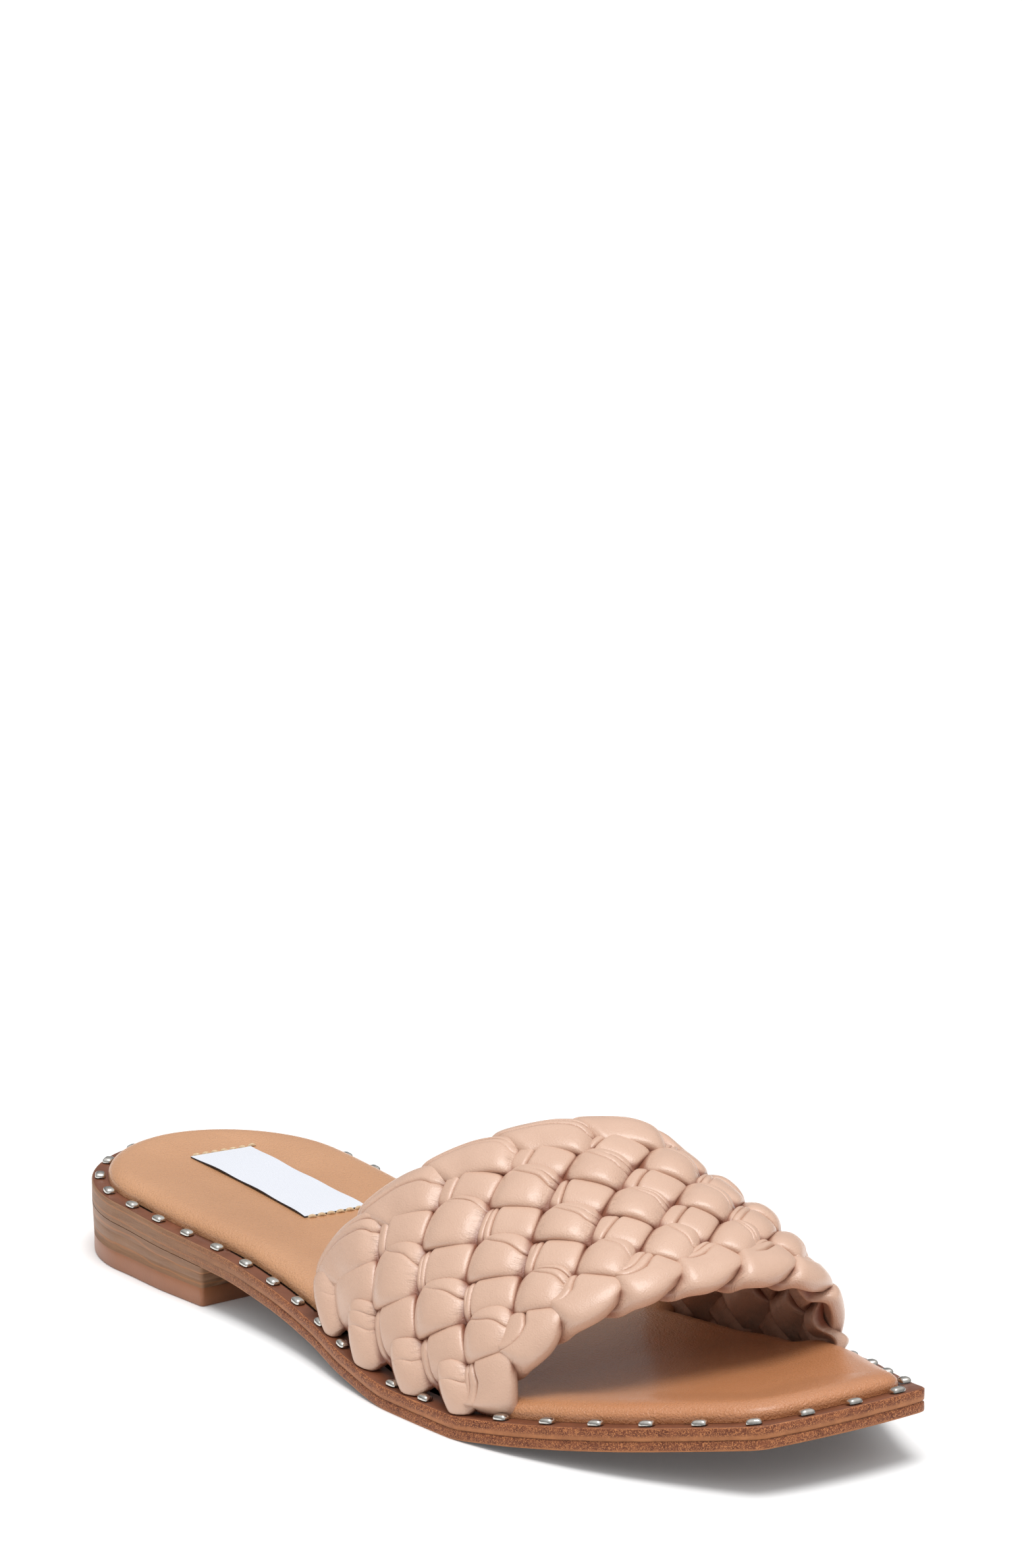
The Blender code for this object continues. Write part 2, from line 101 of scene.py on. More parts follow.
# Strap. Columns of the sections: share of its width from the heel edge; lateral and medial foot and the bow
# forward on top, as shares of LENGTH; height as a share of STRAP_HEIGHT; roundness of the lateral and of the
# medial shoulder; shift of the top to the medial side as a share of BALL_WIDTH
STRAP_HEIGHT = 0.0480
STRAP_INSET = 0.0015
STRAP_WALL = 0.0075
STRAP_RAMP = 0.004
STRAP_COVER = 0.005
STRAP_SECTIONS = (
    (0.0, 0.448, 0.590, 0.057, 1.00, 1.80, 3.20, 0.138),
    (0.5, 0.606, 0.713, 0.044, 0.84, 1.84, 3.10, 0.030),
    (1.0, 0.747, 0.824, 0.040, 0.59, 1.92, 2.70, -0.096),
)

# Braid: a lattice of crossings, rows from the heel edge to the toe edge and columns from the lateral foot
BRAID_ROWS = 9
EDGE_ROW = 0.45
BRAID_FIRST = -2.4
BRAID_LAST = 14.1

STRAND_COUNT = 9

# Columns that a strand takes to cross the strap and come back
RETURN_COLUMNS = 2 * BRAID_ROWS

# A strand's turn at an edge of the strap: its rows from that edge at the tip and at the crossings on either
# side, its height there (1 over, -1 under), and the tail that tucks under
TIP_ROW = 0.76
OVER_ROW = 1.20
UNDER_ROW = 1.06
TIP_HEIGHT = 0.80
TAIL_TURN = 1.0
TAIL_RUN = 0.8
TAIL_STEEPNESS, TAIL_START = 1.25, 0.12
TURN_SWELL = 0.7
EDGE_FALL = 0.0020
EDGE_FALL_END = 1.2

# A strand's section: thickness, how deep it dives under another, and how flat its arch is. As the columns
# count up, a rising strand runs to the toe edge and a falling one to the heel edge.
STRAND_THICKNESS = 0.0043
STRAND_DIVE = 0.00215
FALLING_FLATNESS = 0.34
RISING_FLATNESS = 0.08
STRAND_BULGE = 0.0003
RISING_LIFT = 0.0004
STRAND_FILL = 0.99
OVER_SPREAD = 0.05
PLEAT_SPREAD = 0.24
EDGE_SPREAD = 0.02
RISING_SPREAD = 0.05
STRAND_SQUARENESS = 4.2
STRAND_CROWN = 0.20
STRAND_UNDERSIDE = 0.9
THICKNESS_MEAN, THICKNESS_SWING = 0.94, 0.06
SWING_SHARPNESS = 0.05
TIP_PINCH = 0.66
STRAND_STEP = 0.05
ROLL_STEPS, PLEAT_STEPS, UNDER_STEPS = 26, 11, 12
PLEAT_SHARE = 0.24
PLEAT_CHANGE = 0.20
PLEAT_DRIFT = 0.055
CREASE_DEPTH = 0.50
CREASE_REACH = 0.17
PLEAT_DROP = 0.12
FRONT_PLEAT = 0.10
PLEAT_LEAST, PLEAT_MOST = 0.08, 0.42
SECOND_PLEAT, SECOND_CHANGE = 0.48, 0.25
SECOND_SHARE = 0.7
FALLING_CREASE, RISING_LESS, FRONT_MORE = 1.35, 0.6, 0.4

# How deep each crease is: its change along the strand, its mean, and its rise at a turn's tail
FIRST_CREASE = (1.6, 0.8, 0.4)
SECOND_CREASE = (2.2, 0.3, 0.6)

# Unevenness of the hand braiding
ROW_WANDER, WIDTH_WANDER, THICKNESS_WANDER = 0.06, 0.12, 0.08
WRINKLES_BELOW = 0.9

# Painted crevice shade: the depths between which it darkens the leather, and where the outer face and the
# free edges begin
DEEP_FROM, DEEP_TO = 0.0011, 0.0020
OUTER_FROM, OUTER_RUN = -0.7, 0.5
FREE_EDGE, FREE_EDGE_RUN = 0.25, 0.35

# A strand's foot: how it flares, thins and tucks in, and the columns over which it does
FOOT_FLARE = 0.0009
FOOT_RUN = 0.45
FOOT_BRAID = 1.2
FOOT_SPREAD = 0.12
FOOT_DIVE = 0.5
FOOT_THICKNESS = 0.0024
FOOT_DEPTH = 0.0032

# Label: its middle from the heel and from the sole's axis
LABEL_LENGTH = 0.0515
LABEL_WIDTH = 0.0168
LABEL_FROM_HEEL = 0.0505
LABEL_FROM_AXIS = 0.0013
LABEL_TURN = math.radians(-4.3)
LABEL_PULL = 0.0005
LABEL_LIFT, LABEL_END_FALL, LABEL_WAVE = 0.0007, 0.0003, 0.00010
LABEL_THICKNESS = 0.00035

# Stitches over the label's ends: how many at each, half their length, their slant and how they rise and bend
STITCH_COUNT = 7
STITCH_RADIUS, STITCH_TIP = 0.00042, 0.00002
STITCH_BEYOND, STITCH_SIDE = 0.0004, 0.0006
STITCH_HALF, STITCH_SLANT = 0.00115, 0.00022
STITCH_RISE, STITCH_BEND, STITCH_SINK = 0.00055, 0.0004, 0.0002

STUD_COUNT = 49
STUD_INSET = 0.0020
STUD_START = 0.0075
STUD_SIZE = (0.00172, 0.00126, 0.00105)
STUD_DOME = 2.6
STUD_PLAN = 3.6
STUD_REACH = 0.002

# Studio: where the key light comes from, the sky that fills the shadows, and the white floor
KEY_FROM = (0.14, -0.04, 0.97)
KEY_SPREAD = 34.0
KEY_STRENGTH = 1.95
SKY_STRENGTH = 1.0
FLOOR_REACH = 60.0
FLOOR_GREY = 0.93
FLOOR_GLOW = 0.06

# The fitted camera of the photograph
CAMERA_PLACE = (0.84188, -0.65853, 0.33712)
CAMERA_TURN = (78.88, 0.0, 51.395)
CAMERA_LENS = 113.75

LATERAL, MEDIAL = 0, 1


def read(rows, column, at):
    """A column's value at a share along the rows, on a smooth curve that never overshoots them."""
    xs = [row[0] for row in rows]
    ys = [row[column] for row in rows]
    at = min(max(at, xs[0]), xs[-1])
    i = max(k for k in range(len(xs) - 1) if xs[k] <= at)
    rises = [(ys[k + 1] - ys[k]) / (xs[k + 1] - xs[k]) for k in range(len(xs) - 1)]

    def slope(k):
        before = rises[max(k - 1, 0)]
        after = rises[min(k, len(rises) - 1)]
        return 0.0 if before * after <= 0 else 2 * before * after / (before + after)

    width = xs[i + 1] - xs[i]
    t = (at - xs[i]) / width
    ease = t * t * (3 - 2 * t)
    leave = t * (1 - t) ** 2 * width * slope(i)
    arrive = t * t * (t - 1) * width * slope(i + 1)
    return ys[i] * (1 - ease) + ys[i + 1] * ease + leave + arrive


def smooth(t):
    t = np.clip(t, 0.0, 1.0)
    return t * t * (3 - 2 * t)


def half_width(side, x):
    return BALL_WIDTH * read(SOLE_SECTIONS, 1 + side, x / LENGTH)


def rim_height(x):
    share = x / LENGTH
    lift = HEEL_RISE * read(SOLE_SECTIONS, 3, share) + TOE_SPRING * read(SOLE_SECTIONS, 4, share)
    return SOLE_THICKNESS + lift


RIM_X = np.linspace(-0.01, LENGTH + 0.01, 1200)
RIM_Z = np.array([rim_height(x) for x in RIM_X])


def rim_heights(x):
    return np.interp(x, RIM_X, RIM_Z)


def edge_width(side, x, inset):
    if x < HEEL_ROUND_LENGTH:
        back = min((HEEL_ROUND_LENGTH - x) / (HEEL_ROUND_LENGTH - inset), 1.0)
        share = (1 - back**HEEL_ROUNDNESS) ** (1 / HEEL_ROUNDNESS)
        return (half_width(side, HEEL_ROUND_LENGTH) - inset) * share
    step = LENGTH / 200
    slope = (half_width(side, x + step) - half_width(side, x - step)) / (2 * step)
    return half_width(side, x) - inset * math.hypot(1, slope)


def on_side(side, x, width):
    return Vector((x, width if side == MEDIAL else -width))


# Points of an outline round the heel, along the side, round the corner and along half the front
SOLE_STEPS = (36, 150, 8, 12)
HEEL_STEPS = (36, 40, 6, 6)
STUD_STEPS = (8, 16, 4, 3)


def outline(inset, front, corner, bulge, steps, room=None):
    """Outline drawn in by inset, as its lateral and medial halves, each from the heel to the front."""

    def place(side, x):
        more = room(side, x) if room else 0.0
        return on_side(side, x, edge_width(side, x, inset + more))

    start, end = (on_side(s, front[s], half_width(s, front[s])) for s in (LATERAL, MEDIAL))
    along = (end - start).normalized()
    inward = Vector((-along.y, along.x))
    corners = []
    for side in (LATERAL, MEDIAL):
        low, high = HEEL_ROUND_LENGTH, front[side] + bulge
        for _ in range(40):
            middle = (low + high) / 2
            if (place(side, middle) - start).dot(inward) > inset:
                low = middle
            else:
                high = middle
        corners.append(place(side, low))

    def front_point(share):
        out = inward * (-bulge * 4 * share * (1 - share))
        return corners[LATERAL].lerp(corners[MEDIAL], share) + out

    halves = []
    heel_steps, side_steps, corner_steps, front_steps = steps
    for side in (LATERAL, MEDIAL):
        points = []
        reach = HEEL_ROUND_LENGTH - inset
        for step in range(heel_steps):
            turn = math.pi / 2 * step / heel_steps
            points.append(place(side, HEEL_ROUND_LENGTH - reach * math.cos(turn) ** (2 / HEEL_ROUNDNESS)))
        stop = corners[side].x - corner
        for step in range(side_steps):
            points.append(place(side, HEEL_ROUND_LENGTH + (stop - HEEL_ROUND_LENGTH) * step / side_steps))
        leave = place(side, stop)
        share = corner / (corners[MEDIAL] - corners[LATERAL]).length
        meet = front_point(share if side == LATERAL else 1 - share)
        for step in range(corner_steps):
            t = step / corner_steps
            points.append(leave * (1 - t) ** 2 + corners[side] * 2 * t * (1 - t) + meet * t * t)
        for step in range(front_steps + 1):
            across = share + (0.5 - share) * step / front_steps
            points.append(front_point(across if side == LATERAL else 1 - across))
        halves.append(np.array([(p.x, p.y) for p in points]))
    return halves


def toe_outline(inset, corner=TOE_CORNER, room=None, steps=SOLE_STEPS):
    front = (TOE_LATERAL * LENGTH, TOE_MEDIAL * LENGTH)
    return outline(inset, front, corner, TOE_BULGE, steps, room)


def heel_outline(inset):
    return outline(inset, (BREAST, BREAST), HEEL_CORNER, 0.0, HEEL_STEPS)


def strap_room(side, x):
    """How far the footbed draws back for the strap's feet."""
    depth = STRAP_INSET + STRAP_WALL - FOOTBED_INSET
    start, end = (row[1 + side] * LENGTH for row in (STRAP_SECTIONS[0], STRAP_SECTIONS[-1]))
    before, after = x - start - STRAP_COVER, end - STRAP_COVER - x
    return depth * smooth(before / STRAP_RAMP) * smooth(after / STRAP_RAMP)


def loop_of(halves):
    """The two halves as one closed loop, down the lateral side and back up the medial one."""
    return np.concatenate([halves[LATERAL], halves[MEDIAL][-2:0:-1]])


def to_world(points):
    return np.asarray(points) + np.array((HEEL_X, AXIS_Y, 0.0))


def outward(points, faces):
    """The faces turned to look outward, by the sign of the volume that they enclose."""
    thirds = [(face[0], face[k], face[k + 1]) for face in faces for k in range(1, len(face) - 1)]
    a, b, c = (points[corner] for corner in np.array(thirds).T)
    volume = np.einsum("ij,ij->", a, np.cross(b, c))
    return [tuple(face) if volume > 0 else tuple(face[::-1]) for face in faces]


def add_mesh(name, points, faces, looks, uvs=None, face_looks=None, values=None):
    """A smooth mesh object in the row frame. uvs has a pair for each point and values a number for each."""
    mesh = bpy.data.meshes.new(name)
    places = to_world(points)
    mesh.from_pydata([tuple(p) for p in places], [], outward(places, faces))
    for look in looks:
        mesh.materials.append(look)
    if face_looks is not None:
        mesh.polygons.foreach_set("material_index", np.asarray(face_looks, np.int32))
    loops = np.zeros(len(mesh.loops), np.int32)
    mesh.loops.foreach_get("vertex_index", loops)
    if uvs is not None:
        layer = mesh.uv_layers.new(name="metres")
        layer.data.foreach_set("uv", np.asarray(uvs, np.float32)[loops].ravel())
    for key, value in (values or {}).items():
        attribute = mesh.attributes.new(key, "FLOAT", "POINT")
        attribute.data.foreach_set("value", np.asarray(value, np.float32))
    mesh.validate()
    mesh.shade_smooth()
    made = bpy.data.objects.new(name, mesh)
    bpy.context.scene.collection.objects.link(made)
    return made


def band_faces(rings, count, closed=True):
    """Quads between rings of count points each."""
    faces = []
    for ring in range(rings - 1):
        for i in range(count if closed else count - 1):
            j = (i + 1) % count
            a, b = ring * count, (ring + 1) * count
            faces.append((a + i, a + j, b + j, b + i))
    return faces


def ring_uvs(loop, share):
    """Length run along the loop, and a share."""
    steps = np.linalg.norm(np.diff(loop, axis=0), axis=1)
    run = np.concatenate([[0.0], np.cumsum(steps)])
    return np.column_stack([run, np.full(len(run), share)])


# Materials


def fill(made, values):
    for key, value in values.items():
        made.inputs[key].default_value = value


def new_look(name, roughness, metallic=0.0, coat=0.0, coat_roughness=0.2, specular=0.5):
    made = bpy.data.materials.new(name)
    made.use_nodes = True
    shader = made.node_tree.nodes["Principled BSDF"]
    fill(shader, {"Roughness": roughness, "Metallic": metallic, "Specular IOR Level": specular})
    fill(shader, {"Coat Weight": coat, "Coat Roughness": coat_roughness})
    return made, made.node_tree, shader


def node(tree, kind, **settings):
    made = tree.nodes.new(kind)
    for key, value in settings.items():
        setattr(made, key, value)
    return made


def wire(tree, source, target):
    tree.links.new(source, target)


def place_of(tree, scale=(1.0, 1.0, 1.0), kind="Object"):
    """Coordinates in metres (Object) or the run along a piece (UV), stretched."""
    source = node(tree, "ShaderNodeTexCoord")
    mapping = node(tree, "ShaderNodeMapping")
    mapping.inputs["Scale"].default_value = scale
    wire(tree, source.outputs[kind], mapping.inputs["Vector"])
    return mapping.outputs["Vector"]


def clouds(tree, vector, scale, detail=3.0, roughness=0.55, distortion=0.0):
    made = node(tree, "ShaderNodeTexNoise")
    fill(made, {"Scale": scale, "Detail": detail, "Roughness": roughness, "Distortion": distortion})
    wire(tree, vector, made.inputs["Vector"])
    return made.outputs["Fac"]


def cells(tree, vector, scale, feature="DISTANCE_TO_EDGE"):
    made = node(tree, "ShaderNodeTexVoronoi", feature=feature)
    made.inputs["Scale"].default_value = scale
    wire(tree, vector, made.inputs["Vector"])
    return made.outputs["Distance"]


def ramp(tree, value, stops):
    made = node(tree, "ShaderNodeValToRGB")
    points = made.color_ramp.elements
    while len(points) < len(stops):
        points.new(0.5)
    for point, (at, colour) in zip(points, stops):
        point.position = at
        point.color = (*colour, 1.0) if isinstance(colour, tuple) else (colour, colour, colour, 1.0)
    wire(tree, value, made.inputs["Fac"])
    return made.outputs["Color"]


def blend(tree, share, first, second, mode="MIX"):
    """first and second are colours or sockets, share a number or a socket."""
    made = node(tree, "ShaderNodeMix", data_type="RGBA", blend_type=mode)
    for key, value in ((0, share), (6, first), (7, second)):
        if isinstance(value, tuple):
            made.inputs[key].default_value = (*value, 1.0)
        elif isinstance(value, float):
            made.inputs[key].default_value = value
        else:
            wire(tree, value, made.inputs[key])
    return made.outputs[2]


def sums(tree, first, second, operation="ADD"):
    made = node(tree, "ShaderNodeMath", operation=operation)
    for key, value in ((0, first), (1, second)):
        if isinstance(value, float):
            made.inputs[key].default_value = value
        else:
            wire(tree, value, made.inputs[key])
    return made.outputs[0]


def reliefs(tree, shader, layers):
    """Bumps stacked on each other: height, its distance in metres and its strength."""
    last = None
    for height, distance, strength in layers:
        made = node(tree, "ShaderNodeBump")
        fill(made, {"Distance": distance, "Strength": strength})
        wire(tree, height, made.inputs["Height"])
        if last is not None:
            wire(tree, last, made.inputs["Normal"])
        last = made.outputs["Normal"]
    wire(tree, last, shader.inputs["Normal"])


def cloudy(tree, place, tone, dark, light):
    """A colour between dark and light. tone has the clouds' scale, detail and the share where dark ends."""
    scale, detail, share = tone
    return ramp(tree, clouds(tree, place, scale, detail), ((share, dark), (1 - share, light)))


def plain_look(name, roughness, tone, dark, light, relief, **shine):
    """A cloudy colour with one relief of clouds: their scale, detail, distance and strength."""
    made, tree, shader = new_look(name, roughness, **shine)
    place = place_of(tree)
    wire(tree, cloudy(tree, place, tone, dark, light), shader.inputs["Base Color"])
    scale, detail, distance, strength = relief
    reliefs(tree, shader, ((clouds(tree, place, scale, detail), distance, strength),))
    return made


def strand_leather():
    made, tree, shader = new_look("blush_leather", 0.38, coat=0.42, coat_roughness=0.24)
    place = place_of(tree)
    dive = node(tree, "ShaderNodeAttribute", attribute_name="dive").outputs["Fac"]
    colour = cloudy(tree, place, (90.0, 4.0, 0.3), (0.600, 0.385, 0.280), (0.635, 0.415, 0.305))
    # Painted shade: the crevice mask blends the leather towards a dark red-brown where it lies deep between
    # the strands
    crevice_shade = node(tree, "ShaderNodeAttribute", attribute_name="crevice_shade").outputs["Fac"]
    colour = blend(tree, sums(tree, crevice_shade, 0.95, "MULTIPLY"), colour, (0.26, 0.088, 0.048))
    wire(tree, colour, shader.inputs["Base Color"])
    long_folds = clouds(tree, place_of(tree, (210.0, 1300.0, 1.0), "UV"), 1.0, 3.0, 0.6, 1.6)
    lines = ramp(tree, long_folds, ((0.34, 0.0), (0.47, 1.0)))
    patches = ramp(tree, clouds(tree, place, 150.0, 2.0), ((0.36, 0.15), (0.56, 1.0)))
    shallow = sums(tree, 1.0, crevice_shade, "SUBTRACT")
    ends = sums(tree, dive, shallow, "MULTIPLY")
    wrinkles = sums(tree, sums(tree, lines, ends, "MULTIPLY"), patches, "MULTIPLY")
    grain = clouds(tree, place, 2600.0, 2.0, 0.5, 0.3)
    pores = cells(tree, place, 1700.0)
    lumps = clouds(tree, place, 230.0, 3.0)
    folds = ((lumps, 0.0007, 0.25), (wrinkles, 0.0004, 0.55))
    reliefs(tree, shader, (*folds, (pores, 0.00016, 0.5), (grain, 0.00016, 0.5)))
    return made


def footbed_leather():
    made, tree, shader = new_look("tan_leather", 0.36, coat=0.35, coat_roughness=0.22)
    place = place_of(tree)
    colour = cloudy(tree, place, (22.0, 5.0, 0.32), (0.52, 0.255, 0.122), (0.585, 0.300, 0.150))
    # Painted shade and reflected strap colour: the leather turns darker and more orange towards the toe,
    # where the strap shades it and casts its colour
    parts = node(tree, "ShaderNodeSeparateXYZ")
    wire(tree, place, parts.inputs["Vector"])
    toe_strap_shade = ramp(tree, sums(tree, parts.outputs["X"], 8.0, "MULTIPLY"), ((0.25, 0.0), (0.75, 1.0)))
    colour = blend(tree, toe_strap_shade, colour, (0.50, 0.205, 0.085))
    wire(tree, colour, shader.inputs["Base Color"])
    pebbles = clouds(tree, place, 1900.0, 2.0, 0.55, 0.4)
    pores = cells(tree, place, 1500.0)
    swell = clouds(tree, place, 55.0, 2.0)
    reliefs(tree, shader, ((swell, 0.0015, 0.10), (pebbles, 0.0004, 0.75), (pores, 0.0002, 0.5)))
    return made


def rim_leather():
    dark, light = (0.130, 0.042, 0.019), (0.195, 0.066, 0.031)
    relief = (900.0, 4.0, 0.0003, 0.3)
    return plain_look("rim_leather", 0.45, (160.0, 5.0, 0.3), dark, light, relief, specular=0.3)


def edge_leather():
    """The side of the sole: dark speckled bands with an orange line and a seam between them."""
    made, tree, shader = new_look("speckled_edge", 0.48, specular=0.22)
    place = place_of(tree)
    source = node(tree, "ShaderNodeTexCoord")
    parts = node(tree, "ShaderNodeSeparateXYZ")
    wire(tree, source.outputs["UV"], parts.inputs["Vector"])
    wobble = sums(tree, sums(tree, clouds(tree, place, 120.0, 2.0), 0.5, "SUBTRACT"), 0.10, "MULTIPLY")
    down = sums(tree, parts.outputs["Y"], wobble)
    worms = clouds(tree, place, 1300.0, 2.0, 0.5, 3.0)
    light = ramp(tree, worms, ((0.50, 0.0), (0.58, 1.0)))
    mottle = cloudy(tree, place, (420.0, 3.0, 0.35), (0.135, 0.041, 0.021), (0.22, 0.072, 0.034))
    speckled = blend(tree, light, mottle, (0.47, 0.185, 0.075))
    plain = cloudy(tree, place, (300.0, 3.0, 0.35), (0.35, 0.135, 0.055), (0.46, 0.185, 0.075))
    # The thin plain orange band at the very top is a painted highlight along the rounded top edge; the middle
    # and bottom plain bands are the edge's own orange lines.
    upper_band = ((0.0, 1.0), (0.05, 0.0), (0.30, 0.0), (0.42, 1.0))
    lower_band = ((0.54, 1.0), (0.58, 0.0), (0.90, 0.0), (0.95, 1.0))
    colour = blend(tree, ramp(tree, down, upper_band + lower_band), speckled, plain)
    shade = ramp(tree, down, ((0.535, 1.0), (0.56, 0.55), (0.60, 1.0)))
    colour = blend(tree, 1.0, colour, shade, "MULTIPLY")
    rear = node(tree, "ShaderNodeSeparateXYZ")
    wire(tree, source.outputs["Object"], rear.inputs["Vector"])
    behind = sums(tree, sums(tree, rear.outputs["X"], 0.02), -9.0, "MULTIPLY")
    back = ramp(tree, behind, ((0.0, 0.0), (0.5, 1.0)))
    colour = blend(tree, back, colour, stack_colour(tree, place, down))
    wire(tree, colour, shader.inputs["Base Color"])
    reliefs(tree, shader, ((worms, 0.0003, 0.4), (clouds(tree, place, 500.0, 3.0), 0.0003, 0.2)))
    return made


def stack_colour(tree, place, down):
    """Grey-brown layers with thin wavy orange lines, for the heel and the rear of the sole."""
    fine = clouds(tree, place_of(tree, (120.0, 120.0, 1500.0)), 1.0, 4.0, 0.6, 0.5)
    layers = ramp(tree, fine, ((0.30, (0.235, 0.122, 0.068)), (0.70, (0.32, 0.172, 0.095))))
    lines = node(tree, "ShaderNodeMath", operation="PINGPONG")
    wire(tree, sums(tree, down, 2.0, "MULTIPLY"), lines.inputs[0])
    lines.inputs[1].default_value = 0.5
    orange = ramp(tree, lines.outputs[0], ((0.38, 0.0), (0.5, 0.65)))
    return blend(tree, orange, layers, (0.47, 0.20, 0.085))


def stack_leather():
    made, tree, shader = new_look("stacked_layers", 0.48, specular=0.28)
    place = place_of(tree)
    source = node(tree, "ShaderNodeTexCoord")
    parts = node(tree, "ShaderNodeSeparateXYZ")
    wire(tree, source.outputs["UV"], parts.inputs["Vector"])
    wobble = sums(tree, sums(tree, clouds(tree, place, 45.0, 3.0), 0.5, "SUBTRACT"), 0.5, "MULTIPLY")
    down = sums(tree, parts.outputs["Y"], wobble)
    wire(tree, stack_colour(tree, place, down), shader.inputs["Base Color"])
    reliefs(tree, shader, ((clouds(tree, place, 600.0, 4.0), 0.0003, 0.3),))
    return made


def plain_rubber(name, dark, light):
    return plain_look(name, 0.42, (60.0, 5.0, 0.3), dark, light, (1200.0, 3.0, 0.0002, 0.2), coat=0.1)


def label_cloth():
    made, tree, shader = new_look("woven_cloth", 0.75)
    shader.inputs["Sheen Weight"].default_value = 0.3
    place = place_of(tree, (1.0, 1.0, 1.0), "UV")
    waves = []
    for direction in ("X", "Y"):
        wave = node(tree, "ShaderNodeTexWave", bands_direction=direction)
        fill(wave, {"Scale": 650.0, "Distortion": 0.6, "Detail": 1.0})
        wire(tree, place, wave.inputs["Vector"])
        waves.append(wave.outputs["Fac"])
    weave = sums(tree, waves[0], waves[1], "MULTIPLY")
    colour = ramp(tree, weave, ((0.0, (0.64, 0.66, 0.72)), (0.6, (0.76, 0.78, 0.83))))
    wire(tree, colour, shader.inputs["Base Color"])
    reliefs(tree, shader, ((weave, 0.0002, 0.35),))
    return made


def thread(name, dark, light):
    return plain_look(name, 0.6, (2500.0, 2.0, 0.35), dark, light, (4000.0, 2.0, 0.0001, 0.4))


def nickel():
    dark, light = (0.52, 0.49, 0.45), (0.68, 0.66, 0.62)
    relief = (900.0, 2.0, 0.0002, 0.12)
    return plain_look("polished_nickel", 0.14, (700.0, 3.0, 0.3), dark, light, relief, metallic=1.0)


# Sole, heel and footbed


def loft(name, rings, looks, ring_looks, cap_look, levels):
    """Body through rings of (halves, height at x). levels has each ring's share down the side."""
    points, uvs, faces, face_looks = [], [], [], []
    count = None
    for (halves, height), share in zip(rings, levels):
        loop = loop_of(halves)
        loop = np.concatenate([loop, loop[:1]])
        count = len(loop)
        points.append(np.column_stack([loop, height(loop[:, 0])]))
        uvs.append(ring_uvs(loop, share))
    for ring in range(len(rings) - 1):
        for face in band_faces(2, count, closed=False):
            faces.append(tuple(i + ring * count for i in face))
            face_looks.append(ring_looks[ring])
    points, uvs = np.concatenate(points), np.concatenate(uvs)
    half = (count - 1) // 2
    for ring, turned in ((0, False), (len(rings) - 1, True)):
        base = ring * count
        for i in range(half):
            left, right = (base + i, base + i + 1), (base + count - 1 - i, base + count - 2 - i)
            quad = (left[0], left[1], right[1], right[0])
            face = quad if i < half - 1 else quad[:3]
            faces.append(face[::-1] if turned else face)
            face_looks.append(cap_look[1] if turned else cap_look[0])
    return add_mesh(name, points, faces, looks, uvs, face_looks)


def make_sole():
    rings = []
    # share of SOLE_THICKNESS down, drawn in from the side in metres
    top = ((0.0, 0.0062), (0.0, 0.0008), (0.02, 0.0003), (0.07, 0.0), (0.30, 0.0))
    groove = ((0.50, 0.00004), (0.545, 0.00028), (0.575, 0.00028), (0.62, 0.00004))
    side = top + groove + ((0.80, 0.0), (0.93, 0.0), (0.98, 0.00005), (1.0, 0.0003))
    flush = toe_outline(0.0)
    for depth, drawn_in in side:
        halves = toe_outline(drawn_in)
        if GROOVE_FROM < depth < GROOVE_TO:
            kept = [smooth((half[:, :1] - BREAST) / GROOVE_FADE) for half in halves]
            halves = [half * k + level * (1 - k) for half, level, k in zip(halves, flush, kept)]
        rings.append((halves, lambda x, d=depth: rim_heights(x) - SOLE_THICKNESS * d))
    under = plain_rubber("sole_underside", (0.20, 0.085, 0.045), (0.27, 0.12, 0.065))
    looks = (rim_leather(), edge_leather(), under)
    ring_looks = [0, 0] + [1] * (len(side) - 3)
    made = loft("sole", rings, looks, ring_looks, (0, 2), [depth for depth, _ in side])
    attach(made, "root")
    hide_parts("outsole")


def make_heel():
    def level(share):
        def height(x):
            top = rim_heights(x) - SOLE_THICKNESS
            return top + (LIFT_HEIGHT - top) * share

        return height

    # share of the stack's height down, drawn in from the side in metres
    seams = ((0.32, 0.0), (0.335, 0.00006), (0.35, 0.0), (0.65, 0.0), (0.665, 0.00006), (0.68, 0.0))
    side = ((0.0, 0.0), *seams, (1.0, 0.0))
    rings = [(heel_outline(HEEL_TAPER * share + cut), level(share)) for share, cut in side]
    look = stack_leather()
    plain = plain_rubber("heel_rubber", (0.30, 0.113, 0.048), (0.37, 0.143, 0.062))
    made = loft("stack", rings, (look, plain), [0] * (len(side) - 1), (0, 0), [share for share, _ in side])
    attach(made, "root")
    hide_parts("heel_block")
    # height above the floor, drawn in from the side in metres
    lower = ((0.0005, 0.0), (0.0001, 0.0002), (0.0, 0.0006))
    side = ((LIFT_HEIGHT, 0.00008), (LIFT_HEIGHT - 0.0001, 0.0), *lower)
    rings = [(heel_outline(HEEL_TAPER + cut), lambda x, z=height: np.full(len(x), z)) for height, cut in side]
    levels = [1 - height / LIFT_HEIGHT for height, _ in side]
    made = loft("top_piece", rings, (plain,), [0] * (len(side) - 1), (0, 0), levels)
    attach(made, "root")
    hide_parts("heel_lift")


def footbed_halves(drawn_in):
    return toe_outline(FOOTBED_INSET + FOOTBED_EDGE * drawn_in, FOOTBED_CORNER, strap_room)


FOOTBED_TOP = toe_outline(FOOTBED_INSET + FOOTBED_EDGE, FOOTBED_CORNER)


